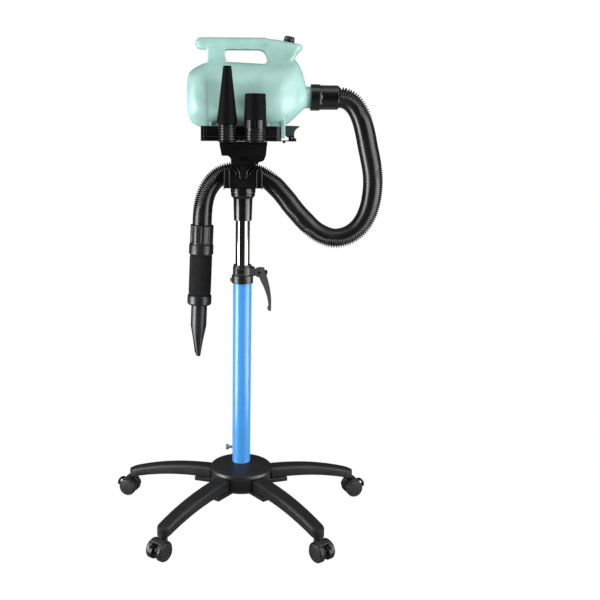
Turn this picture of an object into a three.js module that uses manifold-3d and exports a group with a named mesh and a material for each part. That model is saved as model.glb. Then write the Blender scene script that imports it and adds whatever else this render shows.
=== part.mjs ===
// A pet dryer on a wheeled stand: a blow-moulded dryer in a cradle, its hose and wand,
// a telescopic column with a lever clamp, and a five-legged base on twin-wheel casters.
// Millimetres, +Z up, front towards -Y. The floor is z = 0.
import * as THREE from 'three';
import { mergeVertices } from 'three/addons/utils/BufferGeometryUtils.js';
import Module from 'manifold-3d';

const wasm = await Module();
wasm.setup();

// ---- Driving dimensions ----
const COLUMN_Y = -30; // the column stands in front of the middle of the base's box
const GAP = 0.3; // clearance between touching pieces

const LEGS = 5;
const STEM_RADIUS = 275; // circle of the caster stems
const LEG_TIP = 291; // reach of a leg from the column axis
const HUB_WALL = 62; // where the curve of the legs begins, inside the hub
const HUB_SIDE = 72;
const HUB_RIM = 74;
const HUB_TOP = 126;
const HUB_BOTTOM = 66;

const CASTER_SCALE = 0.84; // the caster below is drawn with 50 mm wheels and made to this scale
const WHEEL_R = 25;
const CASTER_TRAIL = 22;

const OUTER_TUBE_R = 21;
const OUTER_TUBE_TOP = 566;
const CHROME_R = 16;
const TUBE_WALL = 1.5;
const CLAMP_BOTTOM = 555;
const CLAMP_TOP = 597;
const LEVER_PIVOT = [38, 579.5];

const SLEEVE_BOTTOM = 697;
const SLEEVE_TOP = 746;
const HOLDER_BOTTOM = 769.5;
const HOLDER_TOP = 821;
const SADDLE_TOP = 871;
const SCREW_Z = 815.5;

const TRAY = { left: -90, right: 80, front: -78, back: 74, bottom: 871.4, top: 902.5, wall: 3.5 };
const NOZZLE_Y = -102.8;
const NOZZLE_BASE = 872.6;
const CONE_X = -34;
const WIDE_X = 24;
const LATCH_PIVOT = [106, 879];

const DRYER_Z = 966; // height of the motor and outlet axis
const SHELL_WALL = 3;
const NECK_R = 23;
const HANDLE_R = 13;
const HANDLE_Z = 1077.3;
const INLET_R = 38;
const INLET_Z = 971;
const KNOB_AT = [96.5, 0, 1082];
const KNOB_TILT = 10;

const HOSE_R = 22;
const CUFF_START = 146;
const CUFF_END = 206.8;
const WAND_TOP = [-93, 30, 684];
const WAND_LEAN = 2.2;
const MOUTH_TURN = 14;

// The hose leaves the outlet cuff, drops in a loop at the right, passes behind the
// neck of the stand over its holder, and comes down into the wand at the left.
const HOSE_ROUTE = [
  [207.7, 0, 966], [213, 0, 966], [221, 0, 964.4], [232, 0, 959], [243.5, 0, 948.5], [254, 0, 932], [262, 1, 912],
  [269, 2, 887], [275, 3, 861], [282, 4, 833], [288, 5, 804], [290, 7, 775], [288, 9, 746], [283, 11, 721],
  [274, 13, 698], [259, 15, 677], [237, 17, 662], [210, 19, 656], [185, 21, 662], [162, 23, 675],
  [143, 25, 693], [125, 27, 711], [110, 29, 729], [96, 31, 747], [80, 33.5, 765], [54, 37, 788],
  [25, 39, 801], [-1, 40, 805], [-25, 40, 804], [-43, 39, 799], [-59, 36, 789], [-72, 33, 776],
  [-82.5, 31, 758], [-89, 30, 736], [-91.8, 30, 712], [-93, 30, 684.5],
];

// ---- Geometry helpers ----
const rad = (degrees) => (degrees * Math.PI) / 180;

function toSolid(geometry) {
  const bare = geometry.clone();
  bare.deleteAttribute('normal');
  bare.deleteAttribute('uv');
  const merged = mergeVertices(bare, 1e-3);
  const triVerts = new Uint32Array(merged.index.array);
  const vertProperties = new Float32Array(merged.attributes.position.array);
  const solid = new wasm.Manifold(new wasm.Mesh({ numProp: 3, vertProperties, triVerts }));
  if (solid.volume() >= 0) return solid;
  for (let i = 0; i < triVerts.length; i += 3) {
    [triVerts[i + 1], triVerts[i + 2]] = [triVerts[i + 2], triVerts[i + 1]];
  }
  return new wasm.Manifold(new wasm.Mesh({ numProp: 3, vertProperties, triVerts }));
}

function toGeometry(solid) {
  const mesh = solid.getMesh();
  const geometry = new THREE.BufferGeometry();
  geometry.setAttribute('position', new THREE.Float32BufferAttribute(mesh.vertProperties, 3));
  geometry.setIndex(new THREE.Uint32BufferAttribute(mesh.triVerts, 1));
  return geometry;
}

function join(...geometries) {
  return toGeometry(geometries.map(toSolid).reduce((sum, next) => sum.add(next)));
}

function cut(geometry, ...tools) {
  return toGeometry(tools.map(toSolid).reduce((rest, tool) => rest.subtract(tool), toSolid(geometry)));
}

function common(first, second) {
  return toGeometry(toSolid(first).intersect(toSolid(second)));
}

// A block between two corners.
function block(x0, x1, y0, y1, z0, z1) {
  const box = new THREE.BoxGeometry(x1 - x0, y1 - y0, z1 - z0);
  return box.translate((x0 + x1) / 2, (y0 + y1) / 2, (z0 + z1) / 2);
}

// A round bar standing on z0, from one radius to another.
function rod(r, z0, z1, segments = 24, rTop = r) {
  const bar = new THREE.CylinderGeometry(rTop, r, z1 - z0, segments);
  return bar.rotateX(Math.PI / 2).translate(0, 0, (z0 + z1) / 2);
}

// Round bars lying along X and along Y.
const rodX = (r, x0, x1, segments = 24, rEnd = r) => rod(r, x0, x1, segments, rEnd).rotateY(Math.PI / 2);
const rodY = (r, y0, y1, segments = 24) => rod(r, y0, y1, segments).rotateX(-Math.PI / 2);

// A turned piece about Z from [radius, height] pairs.
function turned(profile, segments = 24) {
  const points = profile.map(([r, z]) => new THREE.Vector2(r, z));
  return new THREE.LatheGeometry(points, segments).rotateX(Math.PI / 2);
}

const turnedX = (profile, segments) => turned(profile, segments).rotateY(Math.PI / 2);

// A ring about Z between two radii.
function ring(inner, outer, z0, z1, segments = 24) {
  return turned([[inner, z0], [outer, z0], [outer, z1], [inner, z1], [inner, z0]], segments);
}

function outline(points) {
  return new THREE.Shape(points.map(([a, b]) => new THREE.Vector2(a, b)));
}

// An [x, z] outline carried along Y, and an [x, y] outline carried along Z.
function slabY(shape, y0, y1, curveSegments = 6) {
  const slab = new THREE.ExtrudeGeometry(shape, { depth: y1 - y0, bevelEnabled: false, curveSegments });
  return slab.rotateX(Math.PI / 2).translate(0, y1, 0);
}

function slabZ(shape, z0, z1, curveSegments = 6) {
  const slab = new THREE.ExtrudeGeometry(shape, { depth: z1 - z0, bevelEnabled: false, curveSegments });
  return slab.translate(0, 0, z0);
}

// A closed skin through rings of equally many points, with flat ends.
function loft(rings) {
  const count = rings[0].length;
  const position = rings.flat().flatMap((p) => [p.x, p.y, p.z]);
  const index = [];
  for (let k = 0; k < rings.length - 1; k += 1) {
    for (let i = 0; i < count; i += 1) {
      const a = k * count + i;
      const b = k * count + ((i + 1) % count);
      index.push(a, b, b + count, a, b + count, a + count);
    }
  }
  for (let i = 1; i < count - 1; i += 1) {
    const last = (rings.length - 1) * count;
    index.push(0, i + 1, i, last, last + i, last + i + 1);
  }
  const geometry = new THREE.BufferGeometry();
  geometry.setAttribute('position', new THREE.Float32BufferAttribute(position, 3));
  geometry.setIndex(index);
  return toGeometry(toSolid(geometry));
}

function plastic(color, roughness = 0.5) {
  return new THREE.MeshStandardMaterial({ color, roughness, metalness: 0 });
}

function metal(color, roughness) {
  return new THREE.MeshStandardMaterial({ color, roughness, metalness: 1 });
}

const object = new THREE.Group();
object.position.y = COLUMN_Y;

function add(name, geometry, material, parent = object) {
  const mesh = new THREE.Mesh(geometry, material);
  mesh.name = name;
  parent.add(mesh);
}

const BLACK = 0x17181a;
const GREY = 0x26282b;
const MINT = 0xa8d6cc;
const STEEL = 0xc8cacc;

// ---- Base ----
function hub() {
  const body = turned([
    [OUTER_TUBE_R + 0.4, HUB_BOTTOM], [50, HUB_BOTTOM], [66, 69], [HUB_SIDE - 1, 76], [HUB_SIDE, 104.9],
    [HUB_RIM - 1, 105.3], [HUB_RIM - 0.5, 108], [HUB_RIM - 2, 112.5], [66, 116], [45, 121], [27, HUB_TOP - 1.5],
    [25, HUB_TOP], [OUTER_TUBE_R + 0.4, HUB_TOP], [OUTER_TUBE_R + 0.4, HUB_BOTTOM],
  ], 32);
  const shoes = legAngles().map((angle) => block(48, 112, -19, 19, HUB_BOTTOM, 76.6).rotateZ(angle));
  const bore = rod(OUTER_TUBE_R + 0.4, HUB_BOTTOM - 1, HUB_TOP + 1, 32);
  return cut(join(body, ...shoes), bore);
}

// Angles of the legs about +Z from +X: two in front, one each side, one behind.
function legAngles() {
  return Array.from({ length: LEGS }, (_, i) => rad(-54 + (360 / LEGS) * i));
}

const legTop = (r) => 104.6 - 37 * ((r - HUB_WALL) / (LEG_TIP - HUB_WALL)) ** 2.2;
const legDepth = (r) => 26.6 - 5.2 * ((r - HUB_WALL) / (LEG_TIP - HUB_WALL));

function legSection(r, halfWidth) {
  const top = legTop(r);
  const bottom = top - legDepth(r);
  const bevel = Math.min(5, halfWidth * 0.6);
  return [
    [-halfWidth, bottom], [halfWidth, bottom], [halfWidth, top - bevel],
    [halfWidth - bevel, top], [bevel - halfWidth, top], [-halfWidth, top - bevel],
  ].map(([y, z]) => new THREE.Vector3(r, y, z));
}

function leg() {
  const tipRadius = 16;
  const straight = [HUB_SIDE + GAP, 100, 140, 180, 220, 250, LEG_TIP - tipRadius];
  const sections = straight.map((r) => legSection(r, 18.5 - 2.5 * ((r - HUB_WALL) / 230)));
  [25, 50, 75].forEach((turn) => {
    const r = LEG_TIP - tipRadius + tipRadius * Math.sin(rad(turn));
    sections.push(legSection(r, tipRadius * Math.cos(rad(turn))));
  });
  const socket = rod(5.2, 38, 64, 12).translate(STEM_RADIUS, 0, 0);
  return cut(loft(sections), socket);
}

const shrunk = (geometry) => geometry.scale(CASTER_SCALE, CASTER_SCALE, CASTER_SCALE);

// A caster about its stem, trailing towards +X, axle along Y.
function casterHousing() {
  const arch = new THREE.Shape();
  arch.absarc(0, 0, 28, rad(62), rad(175), false);
  arch.absarc(0, 0, WHEEL_R + 0.9, rad(175), rad(62), true);
  const rib = new THREE.Shape();
  rib.moveTo(0, 0);
  rib.lineTo(27 * Math.cos(rad(62)), 27 * Math.sin(rad(62)));
  rib.absarc(0, 0, 27, rad(62), rad(175), false);
  const place = (geometry) => geometry.translate(CASTER_TRAIL, 0, WHEEL_R);
  const hood = place(slabY(arch, -20, 20, 5));
  const web = place(slabY(rib, -7.6, 7.6, 5));
  const boss = place(rodY(13, -7.6, 7.6, 14));
  const stem = join(rod(7.5, 38, 52.4, 12), rod(5.6, 52, 75, 12));
  return cut(join(hood, web, boss, stem), place(rodY(3.4, -8, 8, 12)));
}

function wheelPair() {
  const side = [[0, -25], [21.5, -25], [WHEEL_R, -21.5], [WHEEL_R, -10], [23.5, -8.2], [3, -8.2]];
  const other = side.map(([r, y]) => [r, -y]).reverse();
  return turned([...side, ...other], 20).rotateX(-Math.PI / 2).translate(CASTER_TRAIL, 0, WHEEL_R);
}

function casterBrake() {
  const lever = outline([
    [37, 41.5], [40, 46], [46, 47], [54, 44], [59, 36], [60, 26], [57.5, 22], [55.5, 23], [56, 31],
    [53, 38], [46, 41.6], [41, 39],
  ]);
  return slabY(lever, -6, 6);
}

add('hub', hub(), plastic(BLACK, 0.4));
legAngles().forEach((angle, i) => {
  const number = i + 1;
  const arm = new THREE.Group();
  arm.rotation.z = angle;
  object.add(arm);
  add(`leg_${number}`, leg(), plastic(BLACK, 0.4), arm);
  const caster = new THREE.Group();
  caster.position.x = STEM_RADIUS;
  arm.add(caster);
  add(`caster_housing_${number}`, shrunk(casterHousing()), plastic(GREY, 0.5), caster);
  add(`wheel_pair_${number}`, shrunk(wheelPair()), plastic(GREY, 0.6), caster);
  add(`caster_brake_${number}`, shrunk(casterBrake()), plastic(BLACK, 0.5), caster);
});

// ---- Column ----
function setScrew() {
  return join(rodX(6.5, -37, -29, 16), rodX(3.2, -30, -OUTER_TUBE_R - GAP, 12)).translate(0, 0, 159.5);
}

function clampCollar() {
  const grip = OUTER_TUBE_R + 0.4;
  const slide = CHROME_R + 0.4;
  const body = turned([
    [grip, CLAMP_BOTTOM], [24.4, CLAMP_BOTTOM], [24.4, 573], [22, 575], [21.6, 592], [20.6, CLAMP_TOP],
    [slide, CLAMP_TOP], [slide, OUTER_TUBE_TOP + 0.6], [grip, OUTER_TUBE_TOP + 0.6], [grip, CLAMP_BOTTOM],
  ], 32);
  const [px, pz] = LEVER_PIVOT;
  const cheeks = cut(block(19, 28.5, -9.5, 9.5, 572, 590), rodY(10.9, -10, 10, 24).translate(px, 0, pz));
  const tongue = block(19, 49, -5.5, 5.5, pz - 7.5, pz + 7.5);
  const lug = cut(join(cheeks, tongue), rodY(3.4, -6, 6, 16).translate(px, 0, pz));
  const frame = block(-13.4, 6.2, -23.4, -18, 576, 590.5);
  const window = block(-10, 4, -24, -21, 579, 588);
  return cut(join(body, lug, frame), window);
}

function clampLever() {
  const [px, pz] = LEVER_PIVOT;
  const shape = new THREE.Shape();
  shape.moveTo(px, pz + 10.5);
  shape.lineTo(46, pz + 10.5);
  shape.quadraticCurveTo(50, 588.5, 51.5, 581);
  shape.splineThru([[55.9, 569], [60.5, 553], [63.6, 538], [65.8, 520], [66, 492]].map(([x, z]) => new THREE.Vector2(x, z)));
  shape.lineTo(60.5, 491.5);
  shape.lineTo(57.5, 496);
  shape.lineTo(60.2, 501);
  shape.splineThru([[56.6, 522.8], [49.5, 543.7], [40.4, 563]].map(([x, z]) => new THREE.Vector2(x, z)));
  shape.lineTo(px, pz - 10.5);
  shape.absarc(px, pz, 10.5, -Math.PI / 2, Math.PI / 2, true);
  const blade = slabY(shape, -9.5, 9.5, 4);
  const slot = rodY(20.5, -6.1, 6.1, 24).translate(px, 0, pz);
  const pinHole = rodY(3.4, -12, 12, 16).translate(px, 0, pz);
  return cut(blade, slot, pinHole);
}

function innerTube() {
  return ring(CHROME_R - TUBE_WALL, CHROME_R, 180, SLEEVE_TOP - 1, 24);
}

const [pivotX, pivotZ] = LEVER_PIVOT;
add('outer_tube', ring(OUTER_TUBE_R - TUBE_WALL, OUTER_TUBE_R, 72, OUTER_TUBE_TOP, 32), metal(0x4696e1, 0.25));
add('base_set_screw', setScrew(), metal(STEEL, 0.3));
add('guide_bush', ring(CHROME_R + 0.4, OUTER_TUBE_R - TUBE_WALL - GAP, 500, OUTER_TUBE_TOP - 1, 24), plastic(BLACK));
add('clamp_collar', clampCollar(), plastic(GREY, 0.45));
add('clamp_bolt', rodX(5, -27.8, -24.7, 6).translate(0, 0, 562), metal(GREY, 0.4));
add('clamp_nut', rodX(5.5, 49.3, 56.6, 6).translate(0, 0, pivotZ), metal(GREY, 0.5));
add('clamp_pin', rodY(3, -10.5, 10.5, 16).translate(pivotX, 0, pivotZ), metal(STEEL, 0.4));
add('clamp_lever', clampLever(), plastic(GREY, 0.45));
add('inner_tube', innerTube(), metal(0xe6e6e6, 0.08));

// ---- Head of the stand ----
function sleeve() {
  const bore = CHROME_R + 0.35;
  return turned([
    [bore, SLEEVE_BOTTOM], [20, SLEEVE_BOTTOM], [21.4, SLEEVE_TOP], [bore, SLEEVE_TOP], [bore, SLEEVE_BOTTOM],
  ], 32);
}

function neckCollar() {
  const bottom = SLEEVE_TOP + GAP;
  const top = HOLDER_BOTTOM - GAP;
  return turned([[0, bottom], [21.9, bottom], [26.8, 753], [27, 757], [27.8, 758], [27.8, top], [0, top]], 32);
}

// The V-shaped tongue that keys the saddle into the hose holder.
function tongue(clearance) {
  const c = clearance;
  const shape = outline([
    [-26 - c, HOLDER_TOP + 5], [-26 - c, HOLDER_TOP - 0.5], [-12.5 - c, 811.5], [-8.4 - c, 803.5], [-8.4 - c, 796.4 - c],
  ]);
  shape.absarc(0, 796.4 - c, 8.4 + c, Math.PI, 2 * Math.PI, false);
  shape.lineTo(8.4 + c, 803.5);
  shape.lineTo(12.5 + c, 811.5);
  shape.lineTo(26 + c, HOLDER_TOP - 0.5);
  shape.lineTo(26 + c, HOLDER_TOP + 5);
  return shape;
}

function hoseHolder() {
  const plate = outline([
    [-43, HOLDER_BOTTOM], [43, HOLDER_BOTTOM], [43, 806], [39, 811], [31, 812], [27.5, HOLDER_TOP],
    [-27.5, HOLDER_TOP], [-31, 812], [-39, 811], [-43, 806],
  ]);
  const pegs = [-35.5, 35.5].map((x) => {
    const peg = join(rod(7.4, HOLDER_BOTTOM, 808, 16), rod(5, 800, 816, 16, 4));
    return peg.translate(x, -21, 0);
  });
  const shelf = block(-24, 24, 10, 68, HOLDER_BOTTOM, 777);
  const lip = block(-24, 24, 64, 68, HOLDER_BOTTOM, 802);
  const pocket = slabY(tongue(0.4), -30, -9.6);
  return cut(join(slabY(plate, -24, 14), ...pegs, shelf, lip), pocket);
}

function saddle() {
  const shape = outline([[51, 860], [51, SADDLE_TOP], [-51, SADDLE_TOP], [-51, 860], [-47.5, 842.7], [-44.5, 840]]);
  shape.lineTo(-33, 840);
  shape.quadraticCurveTo(-27, 838, -27, HOLDER_TOP + GAP);
  shape.lineTo(32, HOLDER_TOP + GAP);
  shape.lineTo(33.5, 826.5);
  shape.quadraticCurveTo(46, 829, 49.5, 842.7);
  const body = slabY(shape, -32, 15);
  const flange = block(-51, 51, -60, 60, 862, SADDLE_TOP);
  const key = slabY(tongue(0), -26, -10);
  const recess = block(-11, 11, -33, -28, 830, 839);
  const screwHole = rodY(4.2, -34, -15, 16).translate(0, 0, SCREW_Z);
  return cut(join(body, flange, key), recess, screwHole);
}

function cradle() {
  const { left, right, front, back, bottom, top, wall } = TRAY;
  const plan = new THREE.Shape();
  plan.moveTo(left, front);
  plan.lineTo(right - 12, front);
  plan.absarc(right - 12, front + 12, 12, -Math.PI / 2, 0, false);
  plan.absarc(right - 12, back - 12, 12, 0, Math.PI / 2, false);
  plan.lineTo(left, back);
  const hollow = block(left + wall, right - wall, front + wall, back - wall, bottom + wall, top + 1);
  const pan = cut(slabZ(plan, bottom, top), hollow);
  const rightNotch = block(right - 14, right + 1, -46, 46, bottom + wall, top + 1);
  const leftNotch = block(left - 1, left + 14, -50, 50, 896, top + 1);
  const corner = outline([[right + 1, top - 7], [right + 1, top + 1], [right - 7, top + 1], [right - 7, top]]);
  corner.absarc(right - 7, top - 7, 7, Math.PI / 2, 0, true);
  const cornerCut = slabY(corner, front - 1, back + 1);
  const apron = join(block(right - 5, 115.5, -14, 14, bottom, 874), block(113.5, 115.5, -14, 14, bottom, 878.5));
  const hinge = rodY(2.4, -14, 14, 12).translate(89.5, 0, 870);
  const [lx, lz] = LATCH_PIVOT;
  const ears = [-14, 10.6].map((y) => block(lx - 6, lx + 6, y, y + 3.4, bottom, lz + 5));
  const pinHole = rodY(2.4, -16, 16, 12).translate(lx, 0, lz);
  const posts = [[CONE_X, 14], [WIDE_X, 16]].flatMap(([x, r]) => [
    rod(18.5, NOZZLE_BASE - 3, NOZZLE_BASE - GAP, 24).translate(x, NOZZLE_Y, 0),
    rod(r, NOZZLE_BASE - 2, NOZZLE_BASE + 24, 20).translate(x, NOZZLE_Y, 0),
    block(x - 9, x + 9, NOZZLE_Y + 8, front + 4, NOZZLE_BASE - 3, NOZZLE_BASE - GAP),
    block(x - 9, x + 9, front + 0.5, front + 4, NOZZLE_BASE - 3, bottom + 2),
  ]);
  return cut(join(cut(pan, rightNotch, leftNotch, cornerCut), apron, hinge, ...ears, ...posts), pinHole);
}

function latch() {
  const [lx, lz] = LATCH_PIVOT;
  const shape = outline([
    [91.5, 905.5], [122.5, 904.8], [122, 902.5], [116, 898.5], [112, 893], [111, 886], [110.2, 877.6],
    [108.4, 875.3], [103.6, 875.3], [101.8, 877.6], [99.5, 880], [94, 882], [91.5, 887],
  ]);
  return cut(slabY(shape, -10, 10), rodY(2.4, -11, 11, 12).translate(lx, 0, lz));
}

add('sleeve', sleeve(), plastic(BLACK, 0.2));
add('neck_collar', neckCollar(), plastic(BLACK, 0.3));
add('hose_holder', hoseHolder(), plastic(BLACK, 0.4));
add('saddle', saddle(), plastic(BLACK, 0.45));
add('socket_screw', join(rodY(4.8, -35, -32 - GAP, 16), rodY(3.8, -33, -16, 16)).translate(0, 0, SCREW_Z), metal(GREY, 0.4));
add('cradle', cradle(), plastic(BLACK, 0.4));
add('latch', latch(), plastic(0x3b444c, 0.5));
add('latch_pin', rodY(2, -15, 15, 12).translate(LATCH_PIVOT[0], 0, LATCH_PIVOT[1]), metal(STEEL, 0.4));

// ---- Spare nozzles ----
function coneNozzle() {
  const base = NOZZLE_BASE;
  return turned([
    [16.5, base], [19, base], [19, base + 33], [21, base + 34.6], [21, base + 38.6], [8.3, base + 149.4],
    [6.8, base + 149.4], [17, base + 38.6], [16.5, base],
  ], 28).translate(CONE_X, NOZZLE_Y, 0);
}

function wideNozzle() {
  const base = NOZZLE_BASE;
  return turned([
    [18.5, base], [22.6, base], [22.6, base + 22.6], [23.6, base + 24.6], [23.6, base + 41], [21.3, base + 94.6],
    [18.8, base + 94.6], [18.5, base],
  ], 28).translate(WIDE_X, NOZZLE_Y, 0);
}

add('cone_nozzle', coneNozzle(), plastic(BLACK, 0.5));
add('wide_nozzle', wideNozzle(), plastic(BLACK, 0.5));

// ---- Dryer body ----
// Cross-sections of the body along X: [x, bottom, top, half width].
const BODY_SECTIONS = [
  [-120, 931, 1010, 42], [-117.5, 919, 1016.5, 53], [-110, 909.5, 1023.5, 62], [-97, 902.5, 1031, 68],
  [-79, 898, 1037.5, 71], [-40, 895, 1039.5, 72.5], [10, 894, 1037.2, 73], [50, 895, 1036, 72],
  [75, 899.5, 1041, 68], [92, 906.5, 1044, 61], [106, 917, 1046, 53], [112, 922.8, 1043, 48], [119, 929.5, 1033.5, 41],
  [125, 935.3, 1021.5, 36], [130, 940, 1007, 31], [134, 943.5, 990.5, 25.5],
];

function bodySkin(inset) {
  const steps = 24;
  const sections = BODY_SECTIONS.map(([x, bottom, top, half], k) => {
    const ends = k === 0 ? inset : k === BODY_SECTIONS.length - 1 ? -inset : 0;
    return Array.from({ length: steps }, (_, i) => {
      const turn = (2 * Math.PI * i) / steps;
      const height = (top - bottom) / 2 - inset;
      return new THREE.Vector3(
        x + ends,
        (half - inset) * Math.cos(turn),
        (top + bottom) / 2 + height * Math.sin(turn),
      );
    });
  });
  return loft(sections);
}

function consoleSkin() {
  // [x, bottom, top, half width] of the control console at the front of the handle.
  const sections = [
    [38, 1064.5, 1090.2, 12.5], [44, 1063, 1088.4, 13], [58, 1030, 1087, 18], [70, 1012, 1086.2, 22.5],
    [80, 1010, 1084.3, 25], [90, 1010, 1082.3, 27], [106, 1038, 1079.4, 27], [110.5, 1047.8, 1078.4, 26],
    [114.8, 1056.1, 1077.4, 24.5], [123.5, 1064.4, 1074.6, 18], [127, 1068.3, 1072.5, 12],
  ];
  const steps = 20;
  return loft(sections.map(([x, bottom, top, half]) => Array.from({ length: steps }, (_, i) => {
    const turn = (2 * Math.PI * i) / steps;
    const square = (v) => Math.sign(v) * Math.abs(v) ** 0.7;
    return new THREE.Vector3(
      x,
      half * square(Math.cos(turn)),
      (top + bottom) / 2 + ((top - bottom) / 2) * square(Math.sin(turn)),
    );
  })));
}

// The opening under the handle, round at its front end.
function gripHole() {
  const shape = outline([[-36, 1030], [-42, 1059]]);
  shape.quadraticCurveTo(-43, 1064.5, -37, 1064.5);
  shape.lineTo(22, 1064.5);
  shape.quadraticCurveTo(49.5, 1064, 49.5, 1050);
  shape.quadraticCurveTo(49.5, 1037, 34, 1030);
  return slabY(shape, -40, 40, 5);
}

function handle() {
  const bar = turnedX([[0, -105.6], [6, -104.3], [10.8, -100], [HANDLE_R, -93], [HANDLE_R, 44], [0, 44]], 20);
  const web = block(-78, 60, -12.5, 12.5, 1020, 1068);
  return cut(join(bar.translate(0, 0, HANDLE_Z), web, consoleSkin()), gripHole());
}

function dryerSkin() {
  const floor = TRAY.bottom + TRAY.wall + GAP;
  const feet = join(
    block(57, 89.7, -42, 42, 878, 920),
    block(-71, -47, -42, 42, floor, 920),
    block(50, 66, -42, 42, floor, 920),
  );
  const neck = rodX(NECK_R, 128, 163, 28).translate(0, 0, DRYER_Z);
  const solid = join(bodySkin(0), handle(), feet, neck);
  const inletCollar = rodX(INLET_R + 3, -119, -102, 28).translate(0, 0, INLET_Z);
  const hollow = cut(bodySkin(SHELL_WALL), inletCollar);
  const inlet = rodX(INLET_R, -130, -98, 28).translate(0, 0, INLET_Z);
  const outlet = rodX(NECK_R - 3, 120, 170, 28).translate(0, 0, DRYER_Z);
  const [kx, , kz] = KNOB_AT;
  const knobHole = rod(3.6, -20, 6, 12).rotateY(rad(KNOB_TILT)).translate(kx, 0, kz);
  return cut(solid, hollow, inlet, outlet, knobHole);
}

function halfShell(side) {
  const near = 0.15;
  const far = 120;
  const half = side < 0 ? block(-200, 200, -far, -near, 850, 1120) : block(-200, 200, near, far, 850, 1120);
  return common(dryerSkin(), half);
}

function inletGrille() {
  const disc = rodX(INLET_R - 0.5, -120.4, -116.4, 28);
  const slots = [-24, -12, 0, 12, 24].map((z) => {
    const reach = Math.sqrt((INLET_R - 6) ** 2 - z ** 2) - 1;
    return block(-122, -115, -reach, reach, z - 3.5, z + 3.5);
  });
  return cut(disc, ...slots).translate(0, 0, INLET_Z);
}

function motor() {
  const can = turnedX([[0, -52], [20, -52], [24, -46], [42, -44], [42, 40], [0, 40]], 24);
  return join(can, rodX(4, 38, 74, 12)).translate(0, 0, DRYER_Z);
}

function motorMount() {
  const disc = rodX(60, 43, 47, 28);
  const windows = Array.from({ length: 6 }, (_, i) => rodX(11, 42, 48, 12).translate(0, 0, 44).rotateX((i * Math.PI) / 3));
  return cut(disc, rodX(8, 42, 48, 16), ...windows).translate(0, 0, DRYER_Z);
}

function impeller() {
  const blades = Array.from({ length: 8 }, (_, i) => {
    const blade = block(56, 70, -1.2, 1.2, 10, 42);
    return blade.rotateX((i * Math.PI) / 4);
  });
  const body = join(rodX(44, 53, 56.5, 24), rodX(12, 53, 72, 16), ...blades);
  return cut(body, rodX(4.4, 50, 80, 12)).translate(0, 0, DRYER_Z);
}

function speedKnob() {
  const grips = Array.from({ length: 10 }, (_, i) => {
    const groove = rod(1.6, 2, 14, 6).translate(12, 0, 0);
    return groove.rotateZ((i * Math.PI) / 5);
  });
  const cap = turned([[0, 0], [11.8, 0], [11.5, 7.6], [9.5, 10.4], [0, 10.9]], 24);
  return join(cut(cap, ...grips), rod(2.9, -16, 1, 12));
}

add('front_shell', halfShell(-1), plastic(MINT, 0.35));
add('rear_shell', halfShell(1), plastic(MINT, 0.35));
add('inlet_grille', inletGrille(), plastic(BLACK));
add('filter', rodX(INLET_R - 0.6, -116, -106, 24).translate(0, 0, INLET_Z), plastic(0x2c2c2c, 0.95));
add('motor', motor(), metal(0x8c8f94, 0.45));
add('motor_mount', motorMount(), plastic(GREY));
add('impeller', impeller(), plastic(0xd8d8d4, 0.5));
add('cable_gland', rodY(7, 73.4, 84, 16).translate(-10, 0, 966), plastic(BLACK));

const knobPlace = new THREE.Group();
knobPlace.position.set(...KNOB_AT);
knobPlace.rotation.y = rad(KNOB_TILT);
object.add(knobPlace);
add('speed_knob', speedKnob(), plastic(BLACK, 0.3), knobPlace);

// ---- Hose and wand ----
function hoseCuff() {
  return turnedX([
    [23.4, CUFF_START], [28, CUFF_START], [28, 165], [26, 166], [25.6, CUFF_END], [20, CUFF_END], [20, 163.6],
    [23.4, 163.6], [23.4, CUFF_START],
  ], 28).translate(0, 0, DRYER_Z);
}

function hose() {
  const path = new THREE.CatmullRomCurve3(HOSE_ROUTE.map((p) => new THREE.Vector3(...p)));
  const section = new THREE.Shape();
  section.absarc(0, 0, HOSE_R, 0, 2 * Math.PI, false);
  return new THREE.ExtrudeGeometry(section, { steps: 46, curveSegments: 5, extrudePath: path });
}

function wandBody() {
  return turned([
    [17, -185.7], [28, -185.7], [28, -165.5], [26.5, -162.6], [20, -162.6], [20, -67.5], [28, -67.5], [28, -44.3],
    [17, -44.3], [17, -185.7],
  ], 28);
}

// The crevice nozzle goes from round to a narrow flat mouth, turned a little and cut slanting at one side.
function wandNozzle() {
  const steps = 24;
  const section = (z, thin, deep, power, degrees) => Array.from({ length: steps }, (_, i) => {
    const turn = (2 * Math.PI * i) / steps;
    const squared = (v) => Math.sign(v) * Math.abs(v) ** power;
    const point = new THREE.Vector3(thin * squared(Math.cos(turn)), deep * squared(Math.sin(turn)), z);
    return point.applyAxisAngle(new THREE.Vector3(0, 0, 1), rad(degrees));
  });
  const outer = loft([
    section(-306.5, 4.8, 17.5, 0.6, MOUTH_TURN), section(-271, 12, 18, 0.8, MOUTH_TURN / 2),
    section(-236, 18.5, 18.5, 1, 0), section(-186, 18.5, 18.5, 1, 0),
  ]);
  const spigot = rod(16.4, -187, -168, 24);
  const bore = loft([
    section(-307.5, 2.8, 15.5, 0.6, MOUTH_TURN), section(-271, 9, 15.4, 0.8, MOUTH_TURN / 2),
    section(-236, 15, 15, 1, 0), section(-167, 14, 14, 1, 0),
  ]);
  const slant = outline([[-14, -294], [-1, -308], [-14, -308]]);
  return cut(join(outer, spigot), bore, slabY(slant, -30, 30));
}

add('hose_cuff', hoseCuff(), plastic(BLACK, 0.35));
add('hose', hose(), plastic(0x1c1c1e, 0.45));

const wand = new THREE.Group();
wand.position.set(...WAND_TOP);
wand.rotation.y = rad(WAND_LEAN);
object.add(wand);
add('wand_cuff', ring(20, 26.5, -44, -0.1, 28), plastic(BLACK, 0.35), wand);
add('wand_body', wandBody(), plastic(BLACK, 0.4), wand);
add('foam_grip', ring(20.3, 26, -162.3, -67.8, 28), plastic(0x141414, 0.95), wand);
add('wand_nozzle', wandNozzle(), plastic(BLACK, 0.4), wand);

export default object;
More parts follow.
